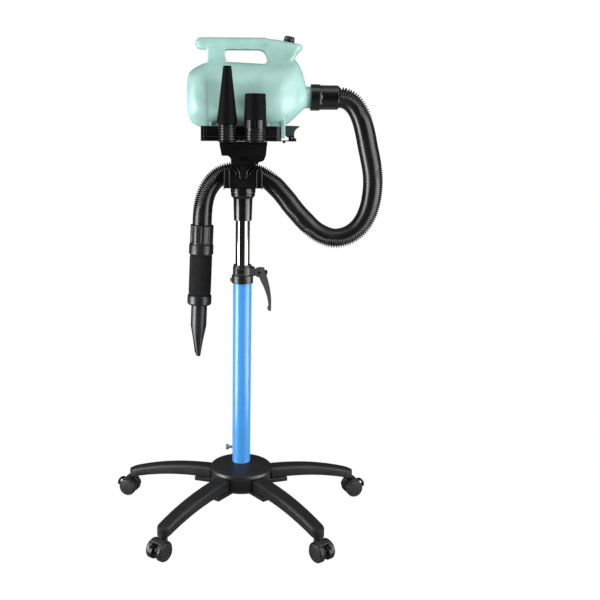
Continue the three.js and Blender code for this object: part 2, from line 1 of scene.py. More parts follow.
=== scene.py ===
# The looks of a pet dryer on a wheeled stand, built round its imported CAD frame.
from math import copysign, cos, exp, pi, radians, sin, tan

import bmesh
import bpy
from mathutils import Matrix, Vector

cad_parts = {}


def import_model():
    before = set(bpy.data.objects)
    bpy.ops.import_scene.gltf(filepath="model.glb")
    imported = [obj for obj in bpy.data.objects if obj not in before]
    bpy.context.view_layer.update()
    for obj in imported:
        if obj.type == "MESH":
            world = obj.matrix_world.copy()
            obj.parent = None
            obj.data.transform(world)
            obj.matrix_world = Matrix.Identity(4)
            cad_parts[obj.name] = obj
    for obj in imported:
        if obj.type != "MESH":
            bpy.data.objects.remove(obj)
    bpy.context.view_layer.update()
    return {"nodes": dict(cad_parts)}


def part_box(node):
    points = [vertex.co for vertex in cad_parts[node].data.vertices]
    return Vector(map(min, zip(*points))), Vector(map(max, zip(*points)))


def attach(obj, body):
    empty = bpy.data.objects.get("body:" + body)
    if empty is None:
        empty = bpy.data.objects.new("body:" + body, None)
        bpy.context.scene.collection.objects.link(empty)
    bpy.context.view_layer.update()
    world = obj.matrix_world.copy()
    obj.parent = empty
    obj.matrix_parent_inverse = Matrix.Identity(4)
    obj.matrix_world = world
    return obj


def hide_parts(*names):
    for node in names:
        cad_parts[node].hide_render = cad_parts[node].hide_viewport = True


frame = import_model()

# ---- Driving sizes: millimetres from the foot of the column, +Z up, front towards -Y ----
MM = 0.001
_low, _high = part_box("outer_tube")
COLUMN = Vector(((_low[0] + _high[0]) / 2, (_low[1] + _high[1]) / 2, 0))

TUBE_R = 21.0
TUBE_TOP = 566.0
CHROME_R = 16.0
STEM_RADIUS = 275.0
LEG_TIP = 291.0
HUB_WALL = 62.0  # where the curve of the legs begins, inside the hub
HUB_SIDE = 72.0
CASTER_SCALE = 0.84  # the caster is drawn with 50 mm wheels and made to this scale
WHEEL_R = 25.0
TRAIL = 22.0
LEVER_PIVOT = (38.0, 579.5)
NOZZLE_Y = -102.8
NOZZLE_BASE = 872.6
CONE_X = -34.0
WIDE_X = 24.0
LATCH_PIVOT = (106.0, 879.0)
DRYER_Z = 966.0
INLET_Z = 971.0
HANDLE_Z = 1077.3
KNOB_AT = (96.5, 0.0, 1082.0)
KNOB_TILT = 10.0
HOSE_R = 22.0
HOSE_PITCH = 4.2
WAND_TOP = (-93.0, 30.0, 684.0)
WAND_LEAN = 2.2
MOUTH_TURN = 14.0
SCREW_Z = 815.5
BOLT_Z = 562.0
THUMB_SCREW_Z = 159.5
LEG_TOP = 104.6  # height of a leg where it leaves the hub
LEG_DROP = 37.0
LEG_COUNT = 5
SHELL_WALL = 3.6
PARTING_GAP = 0.16  # from the middle plane to each half of the shell
GROOVE_REST, GROOVE_OPEN = 0.15, 4.6  # depth of a hose groove on a straight run, and what a bend adds
WAIST_START, WAIST_END, WAIST_DEPTH = -77.5, -38.0, 0.9

# The camera, and the light from all round: its strength and its levels from below, level and above.
LENS, SENSOR, FRAME_SHIFT = 48, 36, 0.0962
EYE = (0, -1797, 870)
EYE_DOWN, EYE_ROLL = 11.18, 0.4
ROOM_LIGHT = 0.14
ROOM_LEVELS = (2.6, 0.2, 1.3)
LAMP_AIM = (0, 0, 0.7)
FLOOR_REACH = 8.0
FLOOR_DROP = 0.002
WHITE = (1, 1, 1, 1)

# The hose's route, the same points as the CAD's.
HOSE_ROUTE = [
    (207.7, 0, 966), (213, 0, 966), (221, 0, 964.4), (232, 0, 959), (243.5, 0, 948.5), (254, 0, 932),
    (262, 1, 912), (269, 2, 887), (275, 3, 861), (282, 4, 833), (288, 5, 804), (290, 7, 775),
    (288, 9, 746), (283, 11, 721), (274, 13, 698), (259, 15, 677), (237, 17, 662), (210, 19, 656),
    (185, 21, 662), (162, 23, 675), (143, 25, 693), (125, 27, 711), (110, 29, 729), (96, 31, 747),
    (80, 33.5, 765), (54, 37, 788), (25, 39, 801), (-1, 40, 805), (-25, 40, 804), (-43, 39, 799),
    (-59, 36, 789), (-72, 33, 776), (-82.5, 31, 758), (-89, 30, 736), (-91.8, 30, 712), (-93, 30, 684.5),
]


# ---- Mesh helpers ----
def metres(point):
    """A point in the script's millimetres as a point of the row frame."""
    return Vector(point) * MM + COLUMN


def spin(degrees, axis):
    return Matrix.Rotation(radians(degrees), 4, axis)


def at(x, y, z):
    return Matrix.Translation((x, y, z))


def place(x=0.0, y=0.0, z=0.0, turn=0.0, lean=0.0):
    """Moves a piece to x, y, z after leaning it about Y and turning it about Z, in degrees."""
    return at(x, y, z) @ (spin(turn, "Z") @ spin(lean, "Y"))


ALONG_X = spin(90, "Y")
ALONG_Y = spin(-90, "X")
WAND_PLACE = place(*WAND_TOP, lean=WAND_LEAN)
KNOB_PLACE = place(*KNOB_AT, lean=KNOB_TILT)


def show(name, data):
    """A new object in the scene."""
    obj = bpy.data.objects.new(name, data)
    bpy.context.scene.collection.objects.link(obj)
    return obj


def scratch(mesh_data, where=None, name="scratch"):
    """A plain object from vertices and faces, to finish, cut or join."""
    verts, faces = mesh_data
    where = where or Matrix.Identity(4)
    mesh = bpy.data.meshes.new(name)
    mesh.from_pydata([metres(where @ Vector(v)) for v in verts], [], faces)
    work = bmesh.new()
    work.from_mesh(mesh)
    bmesh.ops.remove_doubles(work, verts=work.verts, dist=1e-6)
    bmesh.ops.recalc_face_normals(work, faces=work.faces)
    work.to_mesh(mesh)
    work.free()
    return show(name, mesh)


def coat_with(mesh, material):
    """The material is the only one on the mesh."""
    mesh.materials.clear()
    mesh.materials.append(material)


def dress(mesh, material, crease):
    """Smooth shading up to the crease angle, and the material."""
    mesh.shade_smooth()
    mesh.set_sharp_from_angle(angle=radians(crease))
    coat_with(mesh, material)


def make(name, mesh_data, material, body, stands_for=(), where=None, crease=35.0, bevel=0.0, segments=2,
         cuts=()):
    """One piece: cut, shaded, edges softened, riding on its body and standing for its CAD nodes."""
    obj = scratch(mesh_data, where, name)
    for tool in cuts:
        combine(obj, scratch(tool, where))
    dress(obj.data, material, crease)
    if bevel:
        edge = obj.modifiers.new("edge", "BEVEL")
        edge.width = bevel * MM
        edge.segments = segments
        edge.limit_method = "ANGLE"
        edge.angle_limit = radians(32)
        edge.harden_normals = True
    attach(obj, body)
    if stands_for:
        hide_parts(*stands_for)
    return obj


def merged(*parts):
    """Several pieces of mesh data as one."""
    verts, faces = [], []
    for part_verts, part_faces in parts:
        start = len(verts)
        verts.extend(part_verts)
        faces.extend([tuple(i + start for i in face) for face in part_faces])
    return verts, faces


def moved(mesh_data, where):
    verts, faces = mesh_data
    return [tuple(where @ Vector(v)) for v in verts], faces


def rounded(points, closed=False, steps=4):
    """A polyline whose corners (a, b, radius) become arcs."""
    result = []
    count = len(points)
    for i, point in enumerate(points):
        here = Vector(point[:2])
        radius = point[2] if len(point) > 2 else 0.0
        if not radius or (not closed and i in (0, count - 1)):
            result.append(tuple(here))
            continue
        before = Vector(points[i - 1][:2]) - here
        after = Vector(points[(i + 1) % count][:2]) - here
        half = before.angle(after) / 2
        reach = min(radius / tan(half), before.length * 0.49, after.length * 0.49)
        start = here + before.normalized() * reach
        end = here + after.normalized() * reach
        for k in range(steps + 1):
            t = k / steps
            bend = (1 - t) ** 2 * start + 2 * t * (1 - t) * here + t ** 2 * end
            result.append(tuple(bend))
    return result


def loop(points, steps=4):
    """A closed outline whose corners (a, b, radius) become arcs."""
    return rounded(points, closed=True, steps=steps)


def angles(count):
    """Evenly spaced angles round a full turn."""
    return [2 * pi * i / count for i in range(count)]


def turned(profile, segments=72, shape=None):
    """A turned surface from (radius, height) pairs; shape(radius, height, angle) may bend it."""
    verts, faces, rows = [], [], []
    for r, z in profile:
        if r < 1e-6:
            rows.append([len(verts)] * segments)
            verts.append((0.0, 0.0, z))
            continue
        rows.append(list(range(len(verts), len(verts) + segments)))
        for angle in angles(segments):
            reach = shape(r, z, angle) if shape else r
            verts.append((reach * cos(angle), reach * sin(angle), z))
    for low, high in zip(rows, rows[1:]):
        for i in range(segments):
            j = (i + 1) % segments
            corners = (low[i], low[j], high[j], high[i])
            face = tuple(dict.fromkeys(corners))
            if len(face) > 2:
                faces.append(face)
    return verts, faces


def spun(profile, segments=96):
    """A hollow solid of revolution, whose profile runs back to its first point."""
    return turned(profile + profile[:1], segments)


def ring(inner, outer, z0, z1, edge=0.6, segments=72):
    """A ring with softened edges."""
    return spun(loop([(inner, z0, edge), (outer, z0, edge), (outer, z1, edge), (inner, z1, edge)]), segments)


def rod(r, z0, z1, edge=0.5, segments=48):
    """A round bar with softened ends."""
    profile = rounded([(0, z0), (r, z0, edge), (r, z1, edge), (0, z1)])
    return turned(profile, segments)


def bar_y(r, y0, y1, x, z, edge=0.5, segments=48):
    """A round bar along Y through (x, z)."""
    return moved(rod(r, y0, y1, edge, segments), at(x, 0, z) @ ALONG_Y)


def slab(outline, lo, hi, axis="Y"):
    """A closed prism: an (x, z) outline carried along Y, or an (x, y) outline carried along Z."""
    count = len(outline)
    if axis == "Y":
        verts = [(a, lo, b) for a, b in outline] + [(a, hi, b) for a, b in outline]
    else:
        verts = [(a, b, lo) for a, b in outline] + [(a, b, hi) for a, b in outline]
    faces = [tuple(range(count)), tuple(range(2 * count - 1, count - 1, -1))]
    faces += [(i, (i + 1) % count, (i + 1) % count + count, i + count) for i in range(count)]
    return verts, faces


def block(x0, x1, y0, y1, z0, z1):
    return slab([(x0, z0), (x1, z0), (x1, z1), (x0, z1)], y0, y1)


def loft(rings):
    """A closed skin through rings of equally many points."""
    count = len(rings[0])
    verts = [tuple(p) for one in rings for p in one]
    faces = []
    for k in range(len(rings) - 1):
        for i in range(count):
            j = (i + 1) % count
            faces.append((k * count + i, k * count + j, (k + 1) * count + j, (k + 1) * count + i))
    faces.append(tuple(reversed(range(count))))
    faces.append(tuple(range((len(rings) - 1) * count, len(rings) * count)))
    return verts, faces


def arc(cx, cy, r, start, end, steps=12):
    """Points of an arc, angles in degrees."""
    turns = [radians(start + (end - start) * k / steps) for k in range(steps + 1)]
    return [(cx + r * cos(t), cy + r * sin(t)) for t in turns]


def between(a, b, c, d, t):
    """The Catmull-Rom curve from b to c, whose neighbours are a and d."""
    return 0.5 * (2 * b + (c - a) * t + (2 * a - 5 * b + 4 * c - d) * t ** 2
                  + (3 * b - a - 3 * c + d) * t ** 3)


def smooth_curve(points, steps=8):
    """A smooth curve through the points."""
    pts = [Vector(p) for p in points]
    pts = [2 * pts[0] - pts[1]] + pts + [2 * pts[-1] - pts[-2]]
    result = []
    for a, b, c, d in zip(pts, pts[1:], pts[2:], pts[3:]):
        result += [between(a, b, c, d, k / steps) for k in range(steps)]
    result.append(pts[-2])
    return result


def combine(obj, other, operation="DIFFERENCE"):
    """Applies a boolean of other to obj and deletes other."""
    tool = obj.modifiers.new("join", "BOOLEAN")
    tool.operation = operation
    tool.solver = "EXACT"
    tool.object = other
    apply_modifiers(obj)
    bpy.data.objects.remove(other)


def apply_modifiers(obj):
    graph = bpy.context.evaluated_depsgraph_get()
    fresh = bpy.data.meshes.new_from_object(obj.evaluated_get(graph))
    old = obj.data
    obj.modifiers.clear()
    obj.data = fresh
    bpy.data.meshes.remove(old)


# ---- Materials ----
def shader(name, colour, roughness, metallic=0.0, coat=0.0, coat_roughness=0.1, specular=0.5):
    material = bpy.data.materials.new(name)
    material.use_nodes = True
    inputs = material.node_tree.nodes["Principled BSDF"].inputs
    inputs["Base Color"].default_value = (*colour, 1)
    inputs["Roughness"].default_value = roughness
    inputs["Metallic"].default_value = metallic
    inputs["Coat Weight"].default_value = coat
    inputs["Coat Roughness"].default_value = coat_roughness
    inputs["Specular IOR Level"].default_value = specular
    return material


def texture(material, kind, scale, detail=3.0, stretch=(1, 1, 1)):
    """A noise-like texture in the row frame's metres; its node is returned."""
    nodes, links = material.node_tree.nodes, material.node_tree.links
    coords = nodes.new("ShaderNodeTexCoord")
    mapping = nodes.new("ShaderNodeMapping")
    mapping.inputs["Scale"].default_value = stretch
    node = nodes.new(kind)
    node.inputs["Scale"].default_value = scale
    if "Detail" in node.inputs:
        node.inputs["Detail"].default_value = detail
    links.new(coords.outputs["Object"], mapping.inputs["Vector"])
    links.new(mapping.outputs["Vector"], node.inputs["Vector"])
    return node


def first_output(node):
    """The number a texture gives, whatever its socket is called."""
    return node.outputs["Fac"] if "Fac" in node.outputs else node.outputs["Distance"]


def add_bump(material, source, strength, distance):
    """Chains a bump after any bump already on the shader."""
    nodes, links = material.node_tree.nodes, material.node_tree.links
    principled = nodes["Principled BSDF"]
    bump = nodes.new("ShaderNodeBump")
    bump.inputs["Strength"].default_value = strength
    bump.inputs["Distance"].default_value = distance
    links.new(first_output(source), bump.inputs["Height"])
    if principled.inputs["Normal"].is_linked:
        links.new(principled.inputs["Normal"].links[0].from_socket, bump.inputs["Normal"])
    links.new(bump.outputs["Normal"], principled.inputs["Normal"])


def vary(material, source, socket, low, high, span=(0.3, 0.7)):
    """Drives a colour or number of the shader from a texture between two values."""
    nodes, links = material.node_tree.nodes, material.node_tree.links
    principled = nodes["Principled BSDF"]
    if socket == "Base Color":
        ramp = nodes.new("ShaderNodeValToRGB")
        for stop, position, colour in zip(ramp.color_ramp.elements, span, (low, high)):
            stop.position = position
            stop.color = (*colour, 1)
        links.new(first_output(source), ramp.inputs["Fac"])
        links.new(ramp.outputs["Color"], principled.inputs[socket])
        return
    spread = nodes.new("ShaderNodeMapRange")
    for end, value in zip(("From Min", "From Max", "To Min", "To Max"), (*span, low, high)):
        spread.inputs[end].default_value = value
    links.new(first_output(source), spread.inputs["Value"])
    links.new(spread.outputs["Result"], principled.inputs[socket])


def tinted(colour, factor):
    """The colour made lighter or darker, and never over full white."""
    return tuple(min(1.0, c * factor) for c in colour)


def moulded(name, colour, roughness, grain=0.12, specular=0.5, coat=0.0):
    """Moulded plastic: fine spark-eroded grain, slow changes of gloss and a little uneven colour."""
    material = shader(name, colour, roughness, coat=coat, specular=specular)
    fine = texture(material, "ShaderNodeTexNoise", 2400, 2)
    slow = texture(material, "ShaderNodeTexNoise", 28, 3)
    add_bump(material, fine, grain, 0.0004)
    add_bump(material, slow, 0.06, 0.002)
    vary(material, slow, "Roughness", roughness - 0.05, roughness + 0.07)
    vary(material, slow, "Base Color", tinted(colour, 0.88), tinted(colour, 1.1))
    return material


def painted(name, colour):
    """Powder coat: orange peel under a clear gloss."""
    material = shader(name, colour, 0.34, coat=0.35, coat_roughness=0.1)
    peel = texture(material, "ShaderNodeTexNoise", 700, 2)
    add_bump(material, peel, 0.05, 0.0006)
    slow = texture(material, "ShaderNodeTexNoise", 14, 2)
    vary(material, slow, "Base Color", tinted(colour, 0.95), tinted(colour, 1.05))
    return material


def brushed(name, colour, roughness, stretch=(1, 1, 40)):
    """Bare or plated metal with fine drawn lines."""
    material = shader(name, colour, roughness, metallic=1.0)
    lines = texture(material, "ShaderNodeTexNoise", 500, 4, stretch)
    add_bump(material, lines, 0.05, 0.0003)
    vary(material, lines, "Roughness", max(0.02, roughness - 0.04), roughness + 0.06)
    return material


def plated(name, colour, roughness):
    """Bright plating: very slow changes of gloss and no visible grain."""
    material = shader(name, colour, roughness, metallic=1.0)
    slow = texture(material, "ShaderNodeTexNoise", 12, 2)
    vary(material, slow, "Roughness", roughness - 0.02, roughness + 0.03)
    return material


def foam_skin(name):
    material = shader(name, (0.006, 0.006, 0.007), 0.92, specular=0.25)
    cells = texture(material, "ShaderNodeTexVoronoi", 1300)
    add_bump(material, cells, 0.7, 0.0006)
    clouds = texture(material, "ShaderNodeTexNoise", 160, 5)
    add_bump(material, clouds, 0.3, 0.0012)
    vary(material, clouds, "Base Color", (0.004, 0.004, 0.0045), (0.014, 0.014, 0.015))
    return material


MINT = moulded("mint_shell", (0.38, 0.63, 0.58), 0.34, grain=0.03, coat=0.2)
BLACK = moulded("black_plastic", (0.0024, 0.0024, 0.0026), 0.36, specular=0.3)
BASE_BLACK = moulded("base_nylon", (0.013, 0.0132, 0.0138), 0.34, grain=0.15, specular=0.45)
NOZZLE = moulded("nozzle_rubber", (0.002, 0.002, 0.0021), 0.6, specular=0.1)
GLOSS = moulded("gloss_black", (0.003, 0.003, 0.0032), 0.2, grain=0.02, coat=0.35)
CLAMP = moulded("clamp_nylon", (0.010, 0.0102, 0.0105), 0.32)
LEVER = moulded("lever_nylon", (0.062, 0.063, 0.064), 0.4)
GREY = moulded("caster_nylon", (0.022, 0.0225, 0.024), 0.36)
TREAD = moulded("wheel_tread", (0.014, 0.0143, 0.015), 0.42, grain=0.1)
LATCH = moulded("latch_nylon", (0.030, 0.042, 0.050), 0.42)
HOSE = moulded("hose_plastic", (0.004, 0.004, 0.0044), 0.28, grain=0.02, coat=0.25)
BLUE = painted("blue_powder_coat", (0.052, 0.29, 0.72))
CHROME = plated("chrome_plate", (0.38, 0.375, 0.365), 0.1)
STEEL = brushed("zinc_steel", (0.55, 0.55, 0.56), 0.3)
DARK_STEEL = brushed("black_oxide_steel", (0.035, 0.035, 0.037), 0.35)
MOTOR = brushed("motor_alloy", (0.45, 0.46, 0.48), 0.4)
FOAM = foam_skin("grip_foam")
FILTER = foam_skin("filter_foam")
FAN = moulded("fan_nylon", (0.68, 0.68, 0.64), 0.5)


def keep_node(name, material):
    """A CAD node whose shape is right keeps it, with a real material."""
    coat_with(frame["nodes"][name].data, material)


# ---- Camera ----
def camera():
    """In front of the stand at chest height, looking slightly down, with the object left of the middle."""
    data = bpy.data.cameras.new("camera")
    data.lens = LENS
    data.sensor_width = SENSOR
    data.shift_x = FRAME_SHIFT
    eye = show("camera", data)
    eye.location = metres(EYE)
    eye.rotation_euler = (spin(90 - EYE_DOWN, "X") @ spin(EYE_ROLL, "Z")).to_euler()
    bpy.context.scene.camera = eye


# ---- Hose ----
def frames_along(points):
    """A point, side and up vector at each point, carried along without twist."""
    side = Vector((0, 1, 0))
    result = []
    for i, p in enumerate(points):
        ahead = points[min(i + 1, len(points) - 1)] - points[max(i - 1, 0)]
        ahead.normalize()
        side = (side - ahead * side.dot(ahead)).normalized()
        result.append((p, side, ahead.cross(side)))
    return result


def resample(points, step):
    """The same curve with points a fixed distance apart."""
    result = [points[0]]
    carried = 0.0
    for a, b in zip(points, points[1:]):
        length = (b - a).length
        while carried + length >= step:
            t = (step - carried) / length
            a = a + (b - a) * t
            result.append(a)
            length = (b - a).length
            carried = 0.0
        carried += length
    result.append(points[-1])
    return result


def clamped(value):
    """The value kept between 0 and 1."""
    return min(1.0, max(0.0, value))


def bend_at(path, i, reach):
    """How sharply the path bends at a point, as a vector towards the inside of the bend."""
    first, last = max(i - reach, 0), min(i + reach, len(path) - 1)
    if not first < i < last:
        return Vector((0, 0, 0))
    ahead = (path[last] - path[i]).normalized()
    behind = (path[i] - path[first]).normalized()
    return (ahead - behind) / ((path[last] - path[first]).length / 2)


def hose():
    """A corrugated hose: its grooves open on the outside of each bend and close on the inside."""
    steps = 8
    path = resample(smooth_curve(HOSE_ROUTE, 24), HOSE_PITCH / steps)
    along = frames_along(path)
    reach = 4 * steps
    rings = []
    for i, (p, side, up) in enumerate(along):
        bend = bend_at(path, i, reach)
        phase = abs((i % steps) / steps - 0.5) * 2
        groove = clamped((phase - 0.3) / 0.4)
        ring_points = []
        for turn in angles(48):
            out = side * cos(turn) + up * sin(turn)
            stretch = -bend.dot(out) * HOSE_R
            opening = clamped((stretch - 0.03) / 0.2)
            ring_points.append(p + out * (HOSE_R - groove * (GROOVE_REST + GROOVE_OPEN * opening)))
        rings.append(ring_points)
    obj = make("corrugated_hose", loft(rings), HOSE, "head", ["hose"], crease=89)


# ---- World, light and floor ----
def world():
    """White behind the object; round it a dim light, darkest at eye level like the gaps between lamps."""
    sky = bpy.data.worlds.new("world")
    sky.use_nodes = True
    nodes, links = sky.node_tree.nodes, sky.node_tree.links
    seen = nodes["Background"]
    seen.inputs["Color"].default_value = WHITE
    room = nodes.new("ShaderNodeBackground")
    room.inputs["Strength"].default_value = ROOM_LIGHT
    coords = nodes.new("ShaderNodeTexCoord")
    split = nodes.new("ShaderNodeSeparateXYZ")
    height = nodes.new("ShaderNodeMapRange")
    height.inputs["From Min"].default_value = -1.0
    ramp = nodes.new("ShaderNodeValToRGB")
    ramp.color_ramp.elements.new(0.5)
    for stop, level in zip(ramp.color_ramp.elements, ROOM_LEVELS):
        stop.color = (level, level, level, 1)
    path = nodes.new("ShaderNodeLightPath")
    mix = nodes.new("ShaderNodeMixShader")
    for source, output, target, socket in (
            (coords, "Generated", split, "Vector"), (split, "Z", height, "Value"),
            (height, "Result", ramp, "Fac"), (ramp, "Color", room, "Color"),
            (path, "Is Camera Ray", mix, "Fac"), (room, "Background", mix, 1),
            (seen, "Background", mix, 2), (mix, "Shader", nodes["World Output"], "Surface")):
        links.new(source.outputs[output], target.inputs[socket])
    bpy.context.scene.world = sky
    view = bpy.context.scene.view_settings
    view.view_transform = "Standard"
    view.look = "None"


def softbox(name, azimuth, distance, height, size, radiance):
    """An upright soft light; azimuth 0 is in front of the object and 90 on its right."""
    data = bpy.data.lights.new(name, "AREA")
    data.shape = "RECTANGLE"
    data.size, data.size_y = size
    data.energy = radiance * pi * size[0] * size[1]
    lamp = show(name, data)
    turn = radians(azimuth)
    lamp.location = (distance * sin(turn), -distance * cos(turn), height)
    aim = Vector(LAMP_AIM) - lamp.location
    lamp.rotation_euler = aim.to_track_quat("-Z", "Y").to_euler()


def lights():
    """Two tall softboxes, with lamps above, overhead and near the floor."""
    softbox("right softbox", 56, 1.9, 0.95, (1.5, 2.4), 3.6)
    softbox("left softbox", -66, 1.9, 0.95, (0.9, 2.4), 4.6)
    softbox("upper right lamp", 80, 1.5, 2.4, (0.7, 0.9), 2.0)
    softbox("upper left lamp", -80, 1.5, 2.4, (0.7, 0.9), 2.0)
    softbox("top softbox", 0, 0.7, 2.7, (1.4, 1.2), 1.3)
    softbox("low left lamp", -70, 1.15, 0.25, (0.7, 0.7), 10.0)
    softbox("low right lamp", 76, 1.25, 0.25, (0.7, 0.7), 5.5)


def floor():
    """A plain pale floor that runs into the white surround."""
    mesh = bpy.data.meshes.new("floor")
    corners = [(x * FLOOR_REACH, y * FLOOR_REACH, 0) for x, y in ((-1, -1), (1, -1), (1, 1), (-1, 1))]
    mesh.from_pydata(corners, [], [(0, 1, 2, 3)])
    material = bpy.data.materials.new("floor")
    material.use_nodes = True
    nodes = material.node_tree.nodes
    nodes.clear()
    glow = nodes.new("ShaderNodeEmission")
    glow.inputs["Color"].default_value = WHITE
    out = nodes.new("ShaderNodeOutputMaterial")
    material.node_tree.links.new(glow.outputs["Emission"], out.inputs["Surface"])
    mesh.materials.append(material)
    obj = show("floor", mesh)
    obj.location.z = -FLOOR_DROP
    obj.visible_diffuse = False
    obj.visible_glossy = False


# ---- Base ----
def leg_angle(i):
    return -54 + 72 * i


def hub():
    """The dome over the legs, and the shoe under the root of each."""
    profile = rounded([
        (21.6, 66), (50, 66, 2), (66, 69, 3), (71, 76, 3), (72, 102, 4), (74, 107, 3),
        (72, 113.5, 6), (66, 116.5, 6), (45, 121, 12), (27, 124.5, 1), (25, 126, 0.8), (21.6, 126),
    ])
    shoe = block(48, 112, -18.8, 18.8, 66.2, 76.6)
    shoes = [moved(shoe, place(turn=leg_angle(i))) for i in range(LEG_COUNT)]
    make("hub_dome", spun(profile), BASE_BLACK, "base", ["hub"])
    make("hub_shoes", merged(*shoes), BASE_BLACK, "base", bevel=1.6)


def leg_section(r, half):
    """A leg's cross-section at radius r: flat sides, sloping shoulders and a flat top."""
    along = (r - HUB_WALL) / (LEG_TIP - HUB_WALL)
    top = LEG_TOP - LEG_DROP * along ** 2.2
    bottom = top - 26.6 + 5.2 * along
    slope = min(4.2, half * 0.55)
    edge = min(1.6, half * 0.3)
    corners = [(-half, bottom), (half, bottom), (half, top - slope), (half - slope, top - 0.6),
               (slope - half, top - 0.6), (-half, top - slope)]
    return [(r, y, z) for y, z in loop([(*corner, edge) for corner in corners], 3)]


def leg(i):
    tip = 16.0
    reach = LEG_TIP - tip
    stations = [HUB_SIDE + 0.3 + (reach - HUB_SIDE - 0.3) * k / 30 for k in range(31)]
    rings = [leg_section(r, 18.5 - 2.5 * (r - HUB_WALL) / 230) for r in stations]
    for k in range(1, 13):
        turn = radians(85 * k / 12)
        rings.append(leg_section(reach + tip * sin(turn), tip * cos(turn)))
    make(f"leg_arm_{i + 1}", loft(rings), BASE_BLACK, "base", [f"leg_{i + 1}"], place(turn=leg_angle(i)),
         crease=28)


def caster_place(i):
    return place(turn=leg_angle(i)) @ at(STEM_RADIUS, 0, 0) @ Matrix.Scale(CASTER_SCALE, 4)


def caster(i):
    """A hooded twin-wheel caster with its brake tab."""
    n = i + 1
    where = caster_place(i)
    axle = at(TRAIL, 0, WHEEL_R)
    hood_edge = arc(0, 0, 28, 62, 175, 24) + arc(0, 0, 25.9, 175, 62, 24)
    hood = moved(slab(hood_edge, -20, 20), axle)
    web_edge = [(0, 0)] + arc(0, 0, 27, 62, 175, 24)
    web = moved(slab(web_edge, -7.6, 7.6), axle)
    boss = bar_y(13, -7.6, 7.6, TRAIL, WHEEL_R)
    neck = rod(7.5, 38, 52.4, 1)
    pin = rod(5.6, 52, 75, 1)
    body = merged(hood, web, boss, neck, pin)
    make(f"caster_hood_{n}", body, GREY, f"caster_{n}", [f"caster_housing_{n}"], where, bevel=0.9)
    wheels(n, where @ axle)
    brake(n, where)


def wheels(n, axle):
    """Two hard wheels on one axle, with sunk faces and rounded shoulders."""
    side = rounded([
        (0, -24.4), (19.4, -24.4, 0.3), (19.9, -23.9, 0.2), (20.4, -25, 0.4), (22, -25, 1.4),
        (25, -21.2, 2), (25, -10.2, 1.2), (23.5, -8.2, 0.8), (3, -8.2),
    ])
    other = [(r, -y) for r, y in reversed(side)]
    make(f"twin_wheels_{n}", turned(side + other, 64), TREAD, f"wheels_{n}", [f"wheel_pair_{n}"],
         axle @ ALONG_Y)


def brake(n, where):
    """The tab that is trodden down behind the wheels."""
    outline = loop([
        (37, 41.5, 0.8), (40, 46, 1.5), (46, 47, 3), (54, 44, 5), (59, 36, 5), (60, 26, 2), (57.5, 22, 0.8),
        (55.5, 23, 0.6), (56, 31, 4), (53, 38, 4), (46, 41.6, 2), (41, 39, 0.6),
    ], 3)
    make(f"brake_tab_{n}", slab(outline, -6, 6), BLACK, f"brake_{n}", [f"caster_brake_{n}"], where, bevel=0.7)


def base():
    hub()
    for i in range(LEG_COUNT):
        leg(i)
        caster(i)


# ---- Column ----
def outer_tube():
    profile = loop([
        (TUBE_R - 1.5, 72), (TUBE_R, 72), (TUBE_R, TUBE_TOP, 0.5), (TUBE_R - 1.5, TUBE_TOP, 0.5),
    ])
    make("blue_tube", spun(profile), BLUE, "base", ["outer_tube"])


def set_screw():
    """A knurled thumb screw through the foot of the tube."""
    def knurl(r, z, angle):
        return r - 0.35 * (0.5 + 0.5 * cos(18 * angle)) if r > 5 else r

    head = rounded([(0, -37), (3, -37), (3.2, -36.2, 0.3), (4.6, -36.4, 0.3), (6.5, -35.4, 0.6),
                    (6.5, -30.4, 0.6), (3.6, -29, 0.3), (3.2, -28), (3.2, -21.3), (0, -21.3)])
    make("thumb_screw", turned(head, 90, knurl), STEEL, "base", ["base_set_screw"],
         at(0, 0, THUMB_SCREW_Z) @ ALONG_X)


def clamp_collar():
    """The split band at the top of the painted tube, with its window, bolt, nut and lug."""
    profile = rounded([
        (21.4, 555), (24, 555, 0.5), (24.4, 556, 0.4), (24.4, 572.4, 0.8), (22.3, 574, 0.4), (22, 575.4, 0.4),
        (21.7, 591, 0.5), (21, 592.4, 0.3), (20.6, 597, 0.6), (16.4, 597), (16.4, 566.6), (21.4, 566.6),
    ])
    slot = block(-0.9, 0.9, -26, -22.6, 556.5, 572)
    make("clamp_band", spun(profile), CLAMP, "base", ["clamp_collar"], cuts=[slot])
    surround = loop([(-13.4, 576, 1), (6.2, 576, 1), (6.2, 590.5, 1), (-13.4, 590.5, 1)])
    window = block(-10, 4, -24, -21.2, 579, 588)
    make("clamp_window", slab(surround, -23.4, -18), CLAMP, "base", bevel=0.6, cuts=[window])
    edges = [bead([(-13, z), (6, z)], 0.8, -23.2) for z in (577, 590)]
    edges += [bead([(x, 577), (x, 590)], 0.8, -23.2) for x in (-13, 6)]
    make("clamp_window_edges", merged(*edges), LEVER, "base")
    boss = rod(3.2, 20, 24.9, 0.8, 32)
    bosses = [moved(boss, at(x, 0, BOLT_Z) @ ALONG_Y.inverted()) for x in (-6, 6)]
    make("clamp_bosses", merged(*bosses), CLAMP, "base")
    clamp_lug()
    make("bolt_head", rod(4.9, -27.7, -24.7, 0.9, 6), DARK_STEEL, "base", ["clamp_bolt"],
         at(0, 0, BOLT_Z) @ ALONG_X)
    make("nut", rod(5.4, 49.3, 56.6, 0.8, 6), DARK_STEEL, "base", ["clamp_nut"],
         at(0, 0, LEVER_PIVOT[1]) @ ALONG_X)
    make("pivot_pin", rod(3, -10.4, 10.4, 0.6), DARK_STEEL, "base", ["clamp_pin"],
         at(LEVER_PIVOT[0], 0, LEVER_PIVOT[1]) @ ALONG_Y)


